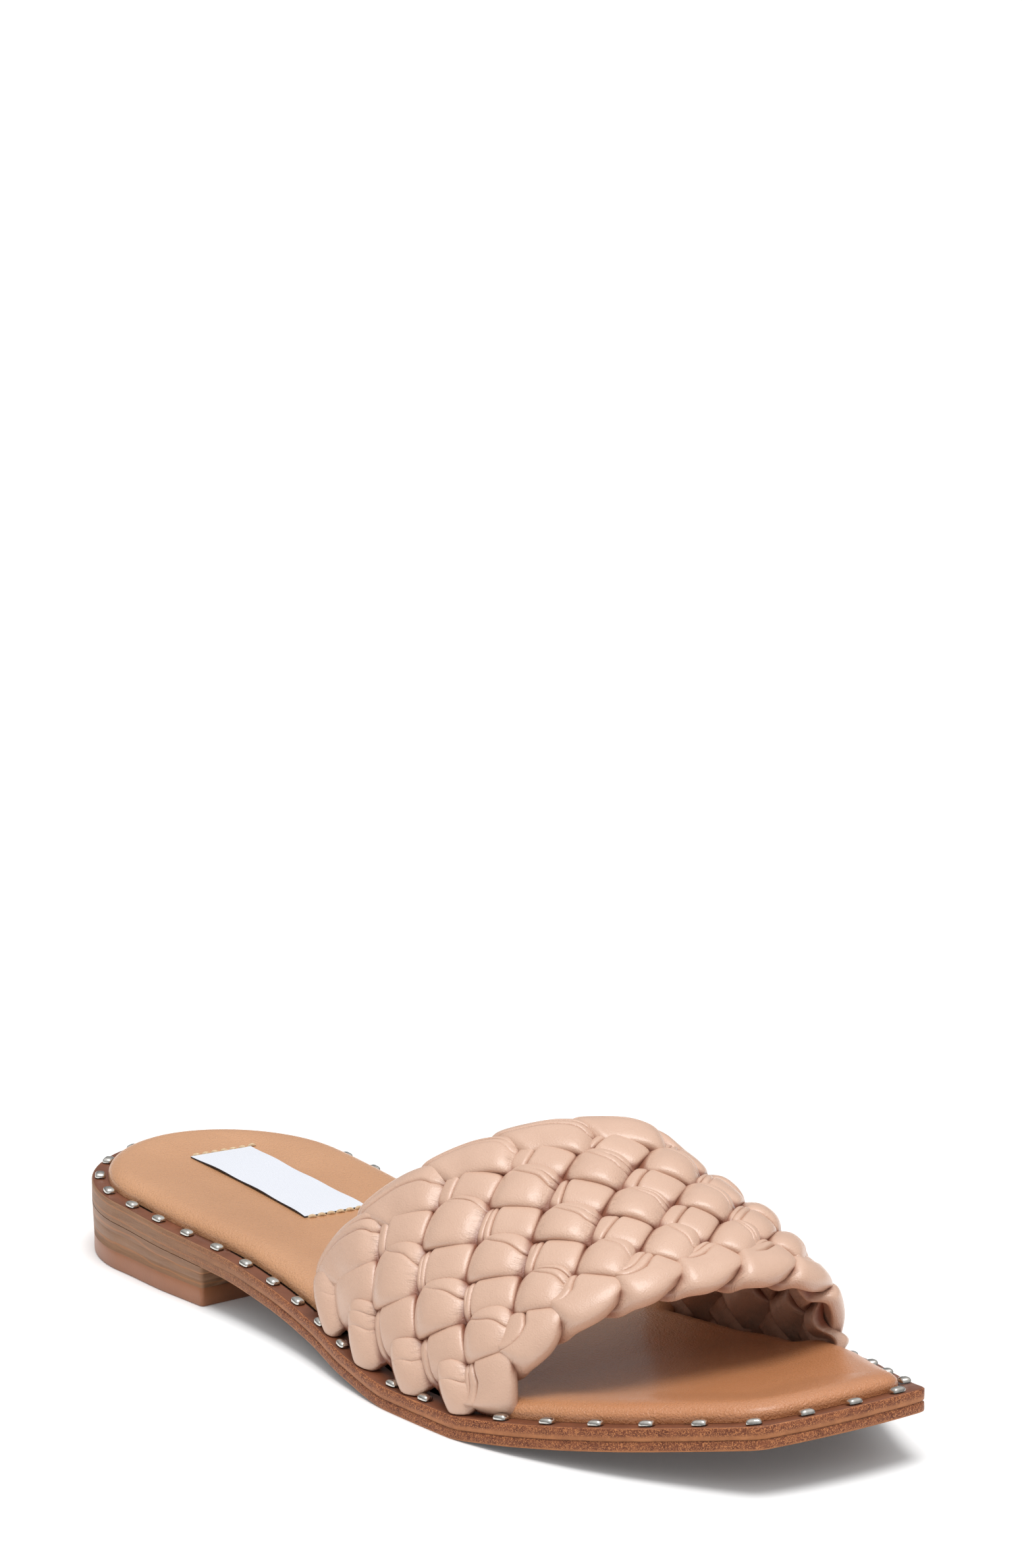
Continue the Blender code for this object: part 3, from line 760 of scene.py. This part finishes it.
def footbed_level(x, y):
    """Height of the footbed's top: a shallow dish inside a soft raised rim."""
    lateral, medial = FOOTBED_TOP
    from_lateral = y - np.interp(x, lateral[:, 0], lateral[:, 1])
    from_medial = np.interp(x, medial[:, 0], medial[:, 1]) - y
    front = lateral[-1, 0] - x
    back = x - lateral[0, 0]
    nearest = np.minimum(np.minimum(np.minimum(from_lateral, from_medial), front), back * FOOTBED_BACK)
    dish = FOOTBED_DISH * smooth((nearest - FOOTBED_LEDGE) / FOOTBED_SLOPE)
    return rim_heights(x) + FOOTBED_THICKNESS - dish


def make_footbed(look):
    """Padded insole: a rounded edge, then the dished top."""
    side = [(0.0, 0.015), (0.0, 0.07)]
    side += [(1 - math.cos(turn), 0.25 + 0.75 * math.sin(turn)) for turn in np.linspace(0, math.pi / 2, 12)]
    points = []
    for drawn_in, rise in side:
        halves = footbed_halves(drawn_in)
        loop = loop_of(halves)
        points.append(np.column_stack([loop, rim_heights(loop[:, 0]) + FOOTBED_THICKNESS * rise]))
    count = len(points[0])
    faces = [face[::-1] for face in band_faces(len(side), count)]
    left, right = halves
    shares = np.arange(1, FOOTBED_COLUMNS) / FOOTBED_COLUMNS
    top = (left[:, None] * (1 - shares)[:, None] + right[:, None] * shares[:, None]).reshape(-1, 2)
    points.append(np.column_stack([top, footbed_level(top[:, 0], top[:, 1])]))
    ring, base, rows = count * (len(side) - 1), count * len(side), len(left)

    def at(i, j):
        """Index of the point of row i, column j of the top."""
        if j == 0 or (j == FOOTBED_COLUMNS and i == rows - 1):
            return ring + i
        if j == FOOTBED_COLUMNS:
            return ring + (count - i) % count
        return base + i * (FOOTBED_COLUMNS - 1) + j - 1

    for i in range(rows - 1):
        for j in range(FOOTBED_COLUMNS):
            face = list(dict.fromkeys((at(i, j), at(i, j + 1), at(i + 1, j + 1), at(i + 1, j))))
            if len(face) > 2:
                faces.append(tuple(face))
    made = add_mesh("insole", np.concatenate(points), faces, (look,))
    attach(made, "root")
    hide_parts("footbed")


# Strap


def strap_surface():
    """Outer face of the strap on a grid: shares of its width down, shares of its length along."""
    rows, columns, fine = 91, 721, 2881
    grid = np.zeros((rows, columns, 3))
    for i in range(rows):
        across = i / (rows - 1)
        feet = [LENGTH * read(STRAP_SECTIONS, column, across) for column in (1, 2)]
        bow = LENGTH * read(STRAP_SECTIONS, 3, across)
        height = STRAP_HEIGHT * read(STRAP_SECTIONS, 4, across)
        shoulders = [read(STRAP_SECTIONS, column, across) for column in (5, 6)]
        ends = [on_side(s, feet[s], half_width(s, feet[s]) - STRAP_INSET) for s in (LATERAL, MEDIAL)]
        middle = (ends[0].y + ends[1].y) / 2 + BALL_WIDTH * read(STRAP_SECTIONS, 7, across)
        turn = np.linspace(0, math.pi, fine)
        lateral = turn < math.pi / 2
        power = np.where(lateral, 2 / shoulders[0], 2 / shoulders[1])
        end = np.where(lateral, ends[0].y, ends[1].y)
        y = middle + (end - middle) * np.abs(np.cos(turn)) ** power
        share = (y - ends[0].y) / (ends[1].y - ends[0].y)
        up = np.clip(np.sin(turn), 0, 1) ** power
        x = feet[0] + (feet[1] - feet[0]) * share + bow * up**2
        base = rim_height(feet[0]) * (1 - share) + rim_height(feet[1]) * share
        arch = np.column_stack([x, y, base + height * up])
        run = np.concatenate([[0.0], np.cumsum(np.linalg.norm(np.diff(arch, axis=0), axis=1))])
        wanted = np.linspace(0, run[-1], columns)
        for axis in range(3):
            grid[i, :, axis] = np.interp(wanted, run, arch[:, axis])
    return grid


SURFACE = strap_surface()
DOWN = np.gradient(SURFACE, 1.0 / (SURFACE.shape[0] - 1), axis=0)
ALONG = np.gradient(SURFACE, 1.0 / (SURFACE.shape[1] - 1), axis=1)
NORMALS = np.cross(DOWN, ALONG)
NORMALS /= np.linalg.norm(NORMALS, axis=2, keepdims=True)


def sample(field, across, along):
    """A grid's value at shares of the strap's width and length, straight between its points."""
    rows, columns = field.shape[:2]
    i = np.clip(across, 0, 1) * (rows - 1)
    j = np.clip(along, 0, 1) * (columns - 1)
    i0, j0 = np.minimum(i.astype(int), rows - 2), np.minimum(j.astype(int), columns - 2)
    a, b = (i - i0)[..., None], (j - j0)[..., None]
    top = field[i0, j0] * (1 - b) + field[i0, j0 + 1] * b
    low = field[i0 + 1, j0] * (1 - b) + field[i0 + 1, j0 + 1] * b
    return top * (1 - a) + low * a


def on_strap(row, column):
    """Place and normal on the strap's outer face at a braid row and column, past its edges too."""
    across = (row - EDGE_ROW) / (BRAID_ROWS - 2 * EDGE_ROW)
    along = (column - BRAID_FIRST) / (BRAID_LAST - BRAID_FIRST)
    place = sample(SURFACE, across, along)
    place = place + sample(DOWN, across, along) * (across - np.clip(across, 0, 1))[..., None]
    place = place + sample(ALONG, across, along) * (along - np.clip(along, 0, 1))[..., None]
    return place, sample(NORMALS, across, along)


def strand_stations(number, first, last):
    """Braid rows of a strand's control points at whole columns, and its heights there: 1 over, -1 under.
    As the columns count up it comes to each turn from below and leaves it on top."""
    rows, passes = {}, []
    for column in range(first, last + 1):
        row = abs((column - number + BRAID_ROWS) % RETURN_COLUMNS - BRAID_ROWS)
        near = min(row, BRAID_ROWS - row)
        rising = (column - number) % RETURN_COLUMNS < BRAID_ROWS
        over = (row % 2 == 1) if rising else (row % 2 == 0)
        held = {0: TIP_ROW, 1: OVER_ROW if over else UNDER_ROW}.get(near, near)
        rows[column] = held if row < BRAID_ROWS / 2 else BRAID_ROWS - held
        passes.append((column, TIP_HEIGHT if near == 0 else 1.0 if over else -1.0))
    return rows, passes


def strand_path(number, columns):
    """Row, slope, height (1 over, -1 under) of a strand at these columns, and how near it is to a turn's tail
    and to the crossing on top of a turn."""
    first, last = math.floor(columns[0]) - 3, math.ceil(columns[-1]) + 3
    rows, passes = strand_stations(number, first, last)
    cell = np.floor(columns).astype(int)
    t = columns - cell
    p = [np.array([rows[c + k] for c in cell]) for k in (-1, 0, 1, 2)]
    row = (1 - t) ** 3 * p[0] + (3 * t**3 - 6 * t**2 + 4) * p[1]
    row = (row + (-3 * t**3 + 3 * t**2 + 3 * t + 1) * p[2] + t**3 * p[3]) / 6
    slope = -((1 - t) ** 2) * p[0] + (3 * t**2 - 4 * t) * p[1]
    slope = (slope + (-3 * t**2 + 2 * t + 1) * p[2] + t**2 * p[3]) / 2
    stations = np.array([c for c, _ in passes], float)
    heights = np.array([h for _, h in passes])
    i = np.clip(np.searchsorted(stations, columns, "right") - 1, 0, len(stations) - 2)
    share = columns - stations[i]
    tail = np.clip(TAIL_STEEPNESS * share - TAIL_START, 0, 1)
    share = np.where(heights[i + 1] == TIP_HEIGHT, tail, share)
    swing = np.cos(math.pi * (share - SWING_SHARPNESS * np.sin(2 * math.pi * share)))
    height = (heights[i] + heights[i + 1]) / 2 + (heights[i] - heights[i + 1]) / 2 * swing
    rising = smooth(slope / 2 + 0.5)
    flatness = FALLING_FLATNESS * (1 - rising) + RISING_FLATNESS * rising
    height = height + flatness * (1 - height * height)
    turn = np.round((columns - number) / BRAID_ROWS) * BRAID_ROWS + number
    near_tail = 1 - np.minimum(1.0, np.abs(columns - turn + TAIL_TURN) / TAIL_RUN)
    near_top = 1 - np.minimum(1.0, np.abs(columns - turn - TURN_SWELL))
    return row, slope, height, near_tail, near_top


def wander(seed, values, scale):
    """A smooth fixed noise along a strand, about -1 to 1."""
    return np.array([noise.noise(Vector((v * scale, seed * 7.3, 1.7))) for v in values])


def spaced(steps):
    """Shares from 0 to 1, close together at both ends."""
    return (1 - np.cos(math.pi * np.arange(steps) / (steps - 1))) / 2


def crease_fall(away, reach):
    """Depth share of a crease at a distance from its line, as steep as the side of a roll."""
    near = 1 - np.minimum(np.abs(away) / reach, 1.0)
    return 1 - np.sqrt(1 - near * near)


def strand_section(first, second, first_depth, second_depth):
    """Points round a strand at each station: sideways from -1 to 1 (the pleats' side) and up from -1 to 1.
    first and second are where the creases of its two pleats lie."""
    ones = np.ones(len(first))
    main = -ones[:, None] + (first + 1)[:, None] * spaced(ROLL_STEPS)
    outer = first[:, None] + (second - first)[:, None] * spaced(PLEAT_STEPS)[1:]
    last = second[:, None] + (1 - second)[:, None] * spaced(PLEAT_STEPS)[1:]
    top = np.concatenate([main, outer, last], axis=1)
    power = STRAND_SQUARENESS
    up = (1 - np.minimum(np.abs(top), 1.0) ** power) ** (1 / power) * (1 - STRAND_CROWN * top * top)
    in_pleat = np.concatenate([np.zeros_like(main), np.ones_like(outer), np.ones_like(last)], axis=1)
    fall = first_depth[:, None] * crease_fall(top - first[:, None], CREASE_REACH)
    second_fall = crease_fall(top - second[:, None], CREASE_REACH * SECOND_SHARE)
    fall = np.maximum(fall, second_depth[:, None] * second_fall)
    up = up - up * (fall + PLEAT_DROP * first_depth[:, None] / CREASE_DEPTH * in_pleat)
    turn = math.pi * np.arange(1, UNDER_STEPS) / UNDER_STEPS
    below = np.sign(np.cos(turn)) * np.abs(np.cos(turn)) ** (2 / power)
    under = -STRAND_UNDERSIDE * np.sin(turn) ** (2 / power)
    sideways = np.concatenate([top, ones[:, None] * below], axis=1)
    return sideways, np.concatenate([up, ones[:, None] * under], axis=1)


def crease_depth(sizes, noise_along, near_tail):
    """Depth share of a crease along a strand."""
    change, mean, tail = sizes
    return smooth(change * noise_along + mean + tail * near_tail)


def make_strand(number, look):
    """One padded strand from foot to foot, swept along its path through the braid."""
    columns = np.arange(BRAID_FIRST, BRAID_LAST + STRAND_STEP / 2, STRAND_STEP)
    row, slope, height, near_tail, near_top = strand_path(number, columns)
    row = row + ROW_WANDER * wander(number, columns, 0.7)
    rising = smooth(slope / 2 + 0.5)
    from_foot = np.minimum(columns - BRAID_FIRST, BRAID_LAST - columns)
    grown = smooth(from_foot / FOOT_RUN)
    above = smooth(from_foot / FOOT_BRAID)

    # size of a row and of a column here, and the sideways direction in rows and columns
    step = 0.05
    ahead, _ = on_strap(row + step, columns)
    behind, _ = on_strap(row - step, columns)
    row_size = np.linalg.norm(ahead - behind, axis=1) / (2 * step)
    ahead, _ = on_strap(row, columns + step)
    behind, _ = on_strap(row, columns - step)
    column_size = np.linalg.norm(ahead - behind, axis=1) / (2 * step)
    spread = np.hypot(row_size * slope, column_size)
    to_row, to_column = -column_size / (spread * row_size), row_size * slope / (spread * column_size)

    # half width, half thickness, and the depth of the middle below the strap's outer face
    half = STRAND_FILL * row_size * column_size / np.hypot(row_size, column_size)
    half = half * (1 + OVER_SPREAD * height + RISING_SPREAD * slope)
    half = half * (1 + WIDTH_WANDER * wander(number + 20, columns, 0.6))
    half = half * (1 - (1 - TIP_PINCH) * smooth(near_tail)) * (1 + EDGE_SPREAD * smooth(near_top))
    half = half * (1 + FOOT_SPREAD * (1 - above))
    thick = STRAND_THICKNESS / 2 * (1 + THICKNESS_WANDER * wander(number + 40, columns, 1.1))
    thick = thick * (THICKNESS_MEAN + THICKNESS_SWING * height) * grown + FOOT_THICKNESS / 2 * (1 - grown)
    dive = STRAND_DIVE * (1 - height) * (1 - FOOT_DIVE * (1 - above))
    centre = STRAND_THICKNESS / 2 - STRAND_BULGE + dive
    centre = centre - RISING_LIFT * (rising - 0.5) * (1 + height) - FOOT_FLARE * (1 - above)
    centre = centre * grown + FOOT_DEPTH * (1 - grown)

    # pleats along the side that faces the heel edge
    front = near_top * (row > BRAID_ROWS / 2)
    pleat = PLEAT_SHARE + PLEAT_CHANGE * wander(number + 60, columns, 0.45) + FRONT_PLEAT * front
    pleat = pleat - PLEAT_DRIFT * rising * np.gradient(height, columns)
    pleat = np.clip(pleat, PLEAT_LEAST, PLEAT_MOST)
    first = 1 - 2 * pleat
    second = 1 - 2 * pleat * (SECOND_PLEAT + SECOND_CHANGE * wander(number + 80, columns, 0.4))
    first_depth = crease_depth(FIRST_CREASE, wander(number + 100, columns, 0.45), near_tail)
    first_depth = CREASE_DEPTH * first_depth * (FALLING_CREASE - RISING_LESS * rising)
    first_depth = first_depth * (1 + FRONT_MORE * front)
    second_depth = crease_depth(SECOND_CREASE, wander(number + 120, columns, 0.6), near_tail)
    second_depth = CREASE_DEPTH * second_depth * SECOND_SHARE
    sideways, up = strand_section(first, second, first_depth * above, second_depth * above)

    swell = 1 + (PLEAT_SPREAD * rising * height)[:, None] * np.maximum(sideways, 0)
    rows = row[:, None] + sideways * swell * (half * to_row)[:, None]
    cols = columns[:, None] + sideways * swell * (half * to_column)[:, None]
    place, normal = on_strap(rows, cols)
    beyond = np.maximum(np.maximum(1.0 - rows, rows - (BRAID_ROWS - 1.0)), 0.0)
    depth = centre[:, None] - up * thick[:, None] + EDGE_FALL * np.minimum(beyond, EDGE_FALL_END) ** 2
    points = place - normal * depth[..., None]
    floor = rim_heights(points[..., 0]) + FIT_GAP
    points[..., 2] = np.maximum(points[..., 2], floor)

    count = sideways.shape[1]
    run = np.concatenate([[0.0], np.cumsum(np.linalg.norm(np.diff(points[:, 0], axis=0), axis=1))])
    uvs = np.stack([np.repeat(run[:, None], count, 1), sideways * half[:, None]], axis=2).reshape(-1, 2)
    uvs = np.concatenate([uvs, uvs[:1], uvs[-1:]])
    flat = points.reshape(-1, 3)
    faces = band_faces(len(columns), count)
    start, end = len(flat), len(flat) + 1
    flat = np.concatenate([flat, points[0].mean(0)[None], points[-1].mean(0)[None]])
    last = (len(columns) - 1) * count
    for i in range(count):
        j = (i + 1) % count
        faces.append((start, j, i))
        faces.append((end, last + i, last + j))

    # dive places the wrinkles; the crevice mask paints shade onto the outer face's crevices but not onto its
    # free edges
    dive = smooth(WRINKLES_BELOW - height)[:, None] * np.ones(count)
    crevice_shade = smooth((depth - DEEP_FROM) / (DEEP_TO - DEEP_FROM))
    crevice_shade = crevice_shade * smooth((up - OUTER_FROM) / OUTER_RUN) * (1 - smooth((beyond - FREE_EDGE) / FREE_EDGE_RUN))
    values = {"dive": np.append(dive.ravel(), (1.0, 1.0)), "crevice_shade": np.append(crevice_shade.ravel(), (1.0, 1.0))}
    made = add_mesh("strand_%d" % (number // 2 + 1), flat, faces, (look,), uvs, values=values)
    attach(made, "root")
    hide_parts("upper")
    return made


# Studs, label and stitches


def make_studs(look):
    halves = toe_outline(STUD_INSET, steps=STUD_STEPS)
    line = loop_of(halves)
    line = np.column_stack([line, rim_heights(line[:, 0])])
    line = np.concatenate([line, line[:1]])
    lengths = np.linalg.norm(np.diff(line, axis=0), axis=1)
    run = np.concatenate([[0.0], np.cumsum(lengths)])
    rings, around = 9, 28
    points = []
    for ring in range(rings):
        turn = math.pi / 2 * ring / (rings - 1)
        for i in range(around):
            angle = 2 * math.pi * i / around
            out = math.cos(turn) ** (2 / STUD_DOME) if ring < rings - 1 else 0.0
            cosine, sine = math.cos(angle), math.sin(angle)
            x = math.copysign(abs(cosine) ** (2 / STUD_PLAN), cosine) * out
            y = math.copysign(abs(sine) ** (2 / STUD_PLAN), sine) * out
            rise = math.sin(turn) ** (2 / STUD_DOME)
            points.append((x * STUD_SIZE[0], y * STUD_SIZE[1], STUD_SIZE[2] * rise))
    faces = band_faces(rings, around)
    mesh = bpy.data.meshes.new("stud_cap")
    mesh.from_pydata(points, [], faces)
    mesh.materials.append(look)
    mesh.validate()
    mesh.shade_smooth()

    def on_line(at):
        return np.array([np.interp(at % run[-1], run, line[:, axis]) for axis in range(3)])

    for number in range(STUD_COUNT):
        at = (STUD_START + run[-1] * number / STUD_COUNT) % run[-1]
        place = on_line(at)
        ahead = on_line(at + STUD_REACH)
        behind = on_line(at - STUD_REACH)
        forward = Vector(ahead - behind).normalized()
        step = LENGTH / 100
        slope = (rim_height(place[0] + step) - rim_height(place[0] - step)) / (2 * step)
        up = Vector((-slope, 0, 1)).normalized()
        side = up.cross(forward).normalized()
        forward = side.cross(up)
        name = "stud_%02d" % (number + 1)
        stud = bpy.data.objects.new("cap_%02d" % (number + 1), mesh)
        bpy.context.scene.collection.objects.link(stud)
        turned = Matrix((forward, side, up)).transposed().to_4x4()
        stud.matrix_world = Matrix.Translation(Vector(to_world(place)) + up * FIT_GAP) @ turned
        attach(stud, "root")
        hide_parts(name)


def label_place(along, across, lift):
    x = LABEL_FROM_HEEL + along * math.cos(LABEL_TURN) - across * math.sin(LABEL_TURN)
    y = LABEL_FROM_AXIS + along * math.sin(LABEL_TURN) + across * math.cos(LABEL_TURN)
    return np.column_stack([x, y, footbed_level(x, y) + lift])


def make_label(cloth, edge):
    across_steps, along_steps = 24, 70
    a, b = np.meshgrid(np.linspace(-1, 1, along_steps), np.linspace(-1, 1, across_steps), indexing="ij")
    a, b = a.ravel(), b.ravel()
    pull = LABEL_PULL * np.cos(a * math.pi / 2)
    along = a * LABEL_LENGTH / 2
    across = b * (LABEL_WIDTH / 2 - pull)
    lift = LABEL_LIFT - LABEL_END_FALL * np.abs(a) ** 6 + LABEL_WAVE * np.sin(a * 9) * np.abs(b) ** 3
    top = label_place(along, across, lift)
    low = label_place(along, across, lift - LABEL_THICKNESS)
    count = len(top)
    faces = []
    for i in range(along_steps - 1):
        for j in range(across_steps - 1):
            p = i * across_steps + j
            faces.append((p, p + across_steps, p + across_steps + 1, p + 1))
    looks = [0] * len(faces)
    faces += [tuple(q + count for q in f[::-1]) for f in faces[:]]
    looks += [1] * len(looks)
    edge_loop = list(range(across_steps))
    edge_loop += [i * across_steps + across_steps - 1 for i in range(1, along_steps)]
    edge_loop += [(along_steps - 1) * across_steps + j for j in range(across_steps - 2, -1, -1)]
    edge_loop += [i * across_steps for i in range(along_steps - 2, 0, -1)]
    for p, q in zip(edge_loop, edge_loop[1:] + edge_loop[:1]):
        faces.append((p, q, q + count, p + count))
        looks.append(1)
    points = np.concatenate([top, low])
    uvs = np.column_stack([along, across])
    uvs = np.concatenate([uvs, uvs])
    made = add_mesh("cloth_label", points, faces, (cloth, edge), uvs, looks)
    made.data.set_sharp_from_angle(angle=math.radians(50))
    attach(made, "root")
    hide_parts("label")


def make_stitches(stitch):
    points, faces = [], []
    around, rings = 10, 9
    for end in (-1, 1):
        for number in range(STITCH_COUNT):
            share = (number + 0.5) / STITCH_COUNT
            middle = -LABEL_WIDTH / 2 + STITCH_SIDE + (LABEL_WIDTH + 2 * STITCH_SIDE) * share
            base = len(points)
            for ring in range(rings):
                t = ring / (rings - 1) * 2 - 1
                thick = STITCH_RADIUS * math.sqrt(max(0.0, 1 - t**4)) + STITCH_TIP
                run = middle + t * STITCH_HALF
                side = end * (LABEL_LENGTH / 2 + STITCH_BEYOND) + t * STITCH_SLANT
                rise = STITCH_RISE - STITCH_BEND * t * t - STITCH_SINK
                for i in range(around):
                    turn = 2 * math.pi * i / around
                    out = np.array([side + thick * math.cos(turn)])
                    lift = rise + thick * math.sin(turn)
                    points.append(label_place(out, np.array([run]), lift)[0])
            faces += [tuple(base + q for q in f) for f in band_faces(rings, around)]
    made = add_mesh("label_stitches", points, faces, (stitch,))
    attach(made, "root")


# Stage


def make_stage():
    mesh = bpy.data.meshes.new("floor")
    reach = FLOOR_REACH
    corners = [(-reach, -reach, 0), (reach, -reach, 0), (reach, reach, 0), (-reach, reach, 0)]
    mesh.from_pydata(corners, [], [(0, 1, 2, 3)])
    floor = bpy.data.objects.new("floor", mesh)
    bpy.context.scene.collection.objects.link(floor)
    made, tree, shader = new_look("studio_floor", 0.9, specular=0.0)
    shader.inputs["Base Color"].default_value = (FLOOR_GREY, FLOOR_GREY, FLOOR_GREY, 1.0)
    shader.inputs["Emission Color"].default_value = (1.0, 1.0, 1.0, 1.0)
    shader.inputs["Emission Strength"].default_value = FLOOR_GLOW
    mesh.materials.append(made)
    toward_key = Vector(KEY_FROM).normalized()
    world = bpy.data.worlds.new("studio")
    bpy.context.scene.world = world
    world.use_nodes = True
    tree = world.node_tree
    source = node(tree, "ShaderNodeTexCoord")
    facing = node(tree, "ShaderNodeVectorMath", operation="DOT_PRODUCT")
    facing.inputs[1].default_value = toward_key
    wire(tree, source.outputs["Generated"], facing.inputs[0])
    toward = sums(tree, sums(tree, facing.outputs["Value"], 1.0), 0.5, "MULTIPLY")
    sky = ramp(tree, toward, ((0.25, 0.10), (0.62, 0.34), (0.95, 1.0)))
    background = tree.nodes["Background"]
    wire(tree, sky, background.inputs["Color"])
    background.inputs["Strength"].default_value = SKY_STRENGTH
    light = bpy.data.lights.new("key_light", "SUN")
    light.angle = math.radians(KEY_SPREAD)
    light.energy = KEY_STRENGTH
    lamp = bpy.data.objects.new("key_light", light)
    bpy.context.scene.collection.objects.link(lamp)
    lamp.rotation_euler = (-toward_key).to_track_quat("-Z", "Y").to_euler()


def make_camera():
    camera = bpy.data.cameras.new("photo_view")
    camera.lens = CAMERA_LENS
    camera.sensor_width = 36.0
    camera.clip_start, camera.clip_end = 0.05, 200.0
    held = bpy.data.objects.new("photo_view", camera)
    bpy.context.scene.collection.objects.link(held)
    held.location = CAMERA_PLACE
    held.rotation_euler = [math.radians(angle) for angle in CAMERA_TURN]
    bpy.context.scene.camera = held


bpy.context.scene.view_settings.view_transform = "Standard"
make_camera()
make_stage()
make_sole()
make_heel()
make_footbed(footbed_leather())
leather = strand_leather()
for strand in range(STRAND_COUNT):
    make_strand(2 * strand + 1, leather)
make_studs(nickel())
cloth = label_cloth()
make_label(cloth, thread("label_back", (0.02, 0.02, 0.025), (0.05, 0.05, 0.06)))
make_stitches(thread("linen_thread", (0.50, 0.34, 0.19), (0.70, 0.52, 0.33)))
